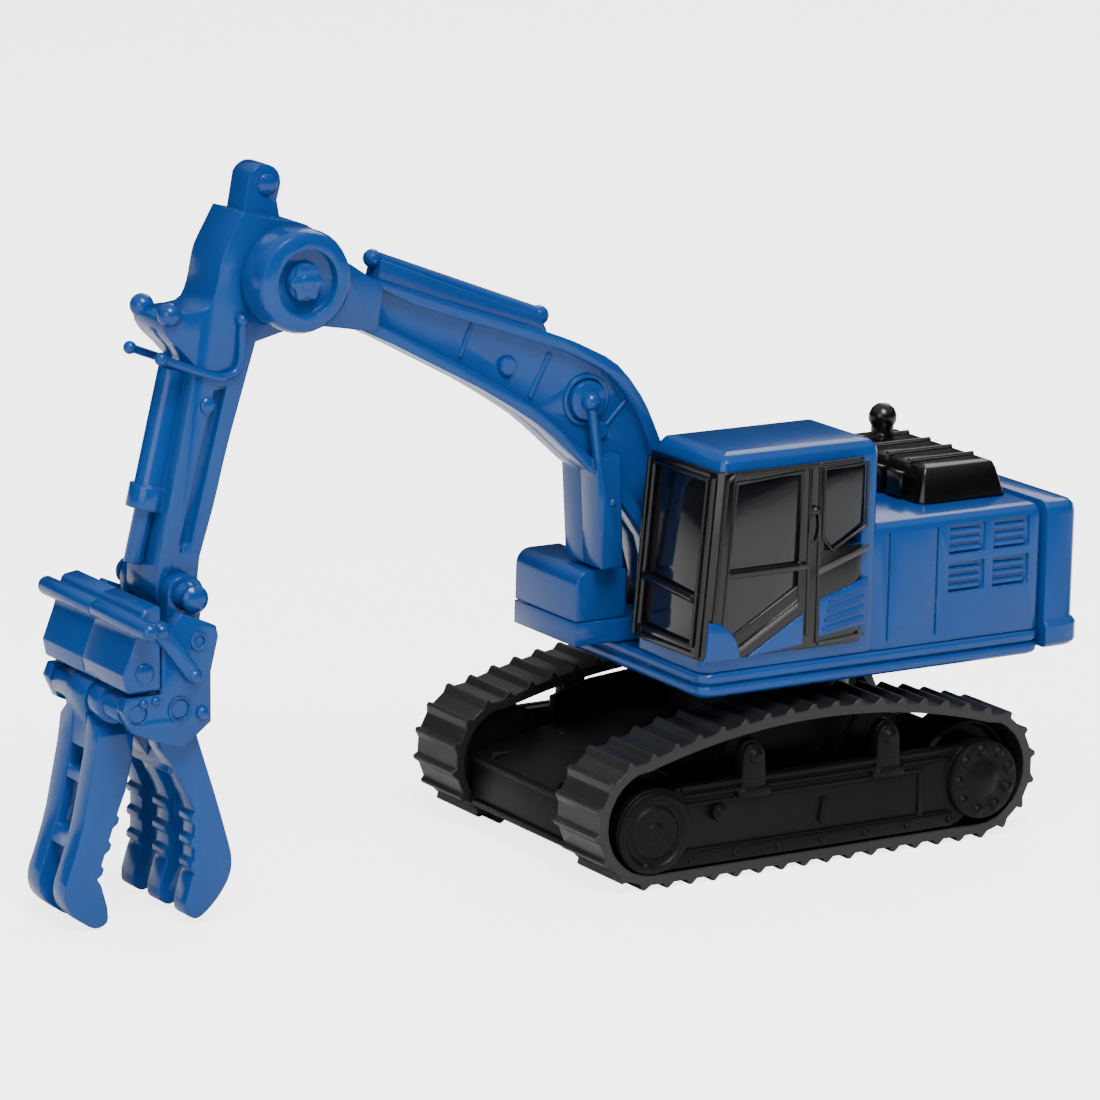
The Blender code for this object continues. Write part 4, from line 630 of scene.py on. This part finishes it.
def make_cab_front():
    trim = []
    for corners, out, radius, closed in (
            (((4.0, 18.0), (11.3, 18.0), (11.3, 30.6), (4.0, 30.6)), 0.02, 0.24, True),
            (((4.5, 18.6), (10.8, 18.6), (10.8, 30.2), (4.5, 30.2)), -0.4, 0.2, True),
            (((4.2, 21.9), (11.1, 21.5)), 0.1, 0.36, False),
            (((3.3, 17.2), (3.3, 30.9)), 0.06, 0.2, False),
            (((12.1, 17.2), (12.1, 30.9)), 0.06, 0.2, False)):
        trim.append(tube([front_place(x, z, out) for x, z in corners], radius, closed))
    piece("windscreen_trim", trim, GLOSS_BLACK, "upper")
    pane = block((4.0, -0.09, 17.4), (11.3, 0.09, 30.7), 0.04)
    lean = Matrix.Rotation(-math.atan2(CAB_LEAN, CAB_RISE), 4, "X")
    foot = Matrix.Translation((0, -10.64, CAB_FOOT_Z))
    pane.transform(foot @ lean @ Matrix.Translation((0, 0, -CAB_FOOT_Z)))
    piece("windscreen_pane", [pane], GLASS, "upper")


def make_house():
    grooves = [block((12.18, y - 0.11, 16.6), (13, y + 0.11, 25.1), 0) for y in (6.4, 10.9)]
    grooves += [block((-13, y - 0.11, 16.6), (-12.18, y + 0.11, 25.1), 0) for y in (2.0, 6.4, 10.9)]
    piece("body_shell_cast", [cast("body_shell", 0.2, cuts=grooves)], BLUE, "upper", ["body_shell"])
    slats = []
    for low, high in ((12.05, 12.3), (-12.3, -12.05)):
        for rear in (19.6, 15.4):
            for top in (25.08, 22.08):
                for i in range(3):
                    z = top - 0.62 - 0.66 * i
                    slats.append(block((low, rear - 3.35, z - 0.2), (high, rear - 0.35, z + 0.22), 0.09))
    piece("vent_slats", slats, BLUE, "upper")
    piece("counterweight_cast", [cast("counterweight", 0.3)], BLUE, "upper", ["counterweight"])
    piece("deck_base_cast", [cast("deck_base", 0.1)], BLUE, "upper", ["deck_base"])
    piece("toolbox_cast", [cast("toolbox", 0.25)], BLUE, "upper", ["toolbox"])
    piece("engine_hood_cast", [cast("engine_hood", 0.2)], GLOSS_BLACK, "upper", ["engine_hood"])
    ribs = [tube([(x, 12.9, 28.7), (x, 19.0, 28.7)], 0.22) for x in (-3.3, -0.4, 2.5, 5.4)]
    for x in (-2.0, 0.6, 3.2, 5.8):
        ribs.append(block((x - 0.9, 11.2, 26.3), (x + 0.9, 11.75, 28.2), 0.1))
    piece("hood_ribs", ribs, GLOSS_BLACK, "upper")
    rail = smooth_line([(-11.6, 3.0, 26.1), (-11.6, 3.3, 27.5), (-11.6, 8.2, 27.5), (-11.6, 8.5, 26.1)])
    piece("tank_rail", [tube(rail, 0.2)], GLOSS_BLACK, "upper")
    caps = [dome((-8.2, 1.0, 25.8), 1.2, 0.5, UP), dome((-8.2, 1.0, 26.2), 0.6, 0.4, UP),
            dome((-8.2, -3.4, 25.8), 0.8, 0.4, UP)]
    piece("tank_caps", caps, BLUE, "upper")


# ---------------------------------------------------------------- boom and arm
WEB_FACE = 1.45
LOBES = 6


def both_sides(meshes):
    return meshes + [mirrored(mesh) for mesh in meshes]


def lobed_head(centre, radius, low, high):
    """A rivet head with lobes round its rim."""
    y, z = centre
    points = []
    for t in (math.tau * i / 48 for i in range(48)):
        reach = radius * (0.88 + 0.12 * math.cos(LOBES * t))
        points.append((y + reach * math.cos(t), z + reach * math.sin(t)))
    return slab([points], low, high, rounding=0.12)


def make_boom():
    for half in ("boom_left_half", "boom_right_half"):
        piece(half + "_cast", [cast(half, 0.22)], BLUE, "boom", [half])
    piece("boom_ridge_cast", [cast("boom_ridge", 0.15)], BLUE, "boom", ["boom_ridge"])
    beads = [ring_shape((KNEE.y, KNEE.z), 2.0, 0.35, WEB_FACE - 0.1, WEB_FACE + 0.22),
             ball((2.15, KNEE.y, KNEE.z), 0.78),
             tube([(2.1, KNEE.y, KNEE.z), (2.2, KNEE.y + 0.9, KNEE.z - 5.0)], 0.4),
             tube([(WEB_FACE, -17.7, 39.2), (WEB_FACE, -19.4, 36.0)], 0.2),
             tube([(WEB_FACE, -10.7, 35.1), (WEB_FACE, -13.1, 32.7)], 0.2),
             tube([(WEB_FACE, -24.5, 42.2), (WEB_FACE, -25.6, 39.6)], 0.18),
             dome((2.55, KNEE.y + 2.0, KNEE.z - 8.0), 0.3, 0.2)]
    piece("boom_beads", both_sides(beads), BLUE, "boom")
    seat = (around(TIP, (8.9, 0.25), (8.4, -1.7), (11.2, -2.6))
            + around(KNEE, (-5.8, 5.9), (-2.9, 4.9), (-3.7, 6.5)))
    piece("ridge_seat", [slab([seat], -1.0, 1.0, rounding=0.2)], BLUE, "boom")
    heads = [lobed_head((TIP.y, TIP.z), 1.42, 4.85, 5.62), dome((5.6, TIP.y, TIP.z), 0.55, 0.15)]
    piece("drum_rivets", both_sides(heads), BLUE, "boom")


def make_arm():
    track = [(-46.35, 39.4), (-45.75, 39.4), (-48.95, 27.4), (-49.55, 27.4)]
    cuts = [slab([track], low, low + 1.0, rounding=0.02) for low in (2.12, -3.12)]
    piece("arm_cast", [cast("arm", 0.3, cuts=cuts)], BLUE, "arm", ["arm"])
    pipe = smooth_line([(2.4, -51.2, 41.9), (2.45, -49.4, 41.2), (2.5, -47.0, 40.3), (2.5, -45.9, 40.2),
                        (2.5, -44.8, 40.9), (2.45, -44.6, 44.0)])
    details = [tube(pipe, 0.32), ball((2.45, -44.6, 44.2), 0.5), ball((2.4, -51.2, 41.9), 0.5),
               dome((2.3, -47.3, 38.1), 0.62, 0.35), ball((2.1, -50.4, 45.0), 0.9),
               dome((1.3, -42.0, 53.8), 0.8, 0.35)]
    piece("arm_fittings", both_sides(details), BLUE, "arm")


# ---------------------------------------------------------------- grapple
BRACKET_FACE = 6.3


def make_grapple():
    piece("grapple_bracket_cast", [cast("grapple_bracket", 0.25)], BLUE, "grapple_head", ["grapple_bracket"])
    seam = [block((-0.06, -57.5, 16), (0.06, -55.05, 26), 0),
            block((-0.06, -57.5, 24.45), (0.06, -52, 26), 0)]
    piece("grapple_housing_cast", [cast("grapple_housing", 0.4, 3, cuts=seam)], BLUE, "grapple_head",
          ["grapple_housing"])
    face = BRACKET_FACE
    link = arc((-53.3, 22.9), 0.75, 55, 235, 8) + arc((-50.6, 19.3), 0.62, 235, 415, 8)
    plate = [ring_shape((REAR_JAW.y, REAR_JAW.z), 0.98, 0.16, face - 0.1, face + 0.12),
             ring_shape((-50.1, 21.8), 0.72, 0.28, face - 0.1, face + 0.16),
             dome((face, -49.8, 16.4), 0.5, 0.45), dome((face, -54.6, 17.6), 0.34, 0.3),
             dome((face, -53.6, 17.7), 0.34, 0.3), dome((5.0, HEAD.y, HEAD.z), 1.05, 0.7),
             slab([link], face - 0.6, face + 0.55, rounding=0.25),
             dome((face + 0.5, -50.6, 19.3), 0.45, 0.35), dome((face + 0.5, -53.3, 22.9), 0.5, 0.35),
             ball((7.95, HEAD.y - 5.25, HEAD.z - 1.2), 0.72), dome((6.45, -54.6, 19.9), 0.75, 0.35)]
    piece("bracket_fittings", both_sides(plate), BLUE, "grapple_head")
    for node in ("front_jaw", "rear_jaw"):
        piece(node + "_cast", [cast(node, 0.24)], BLUE, node, [node])


colour_cad_nodes()
make_camera()
make_world()
make_lights()
make_floor()
make_undercarriage()
make_cab()
make_cab_front()
make_house()
make_boom()
make_arm()
make_grapple()
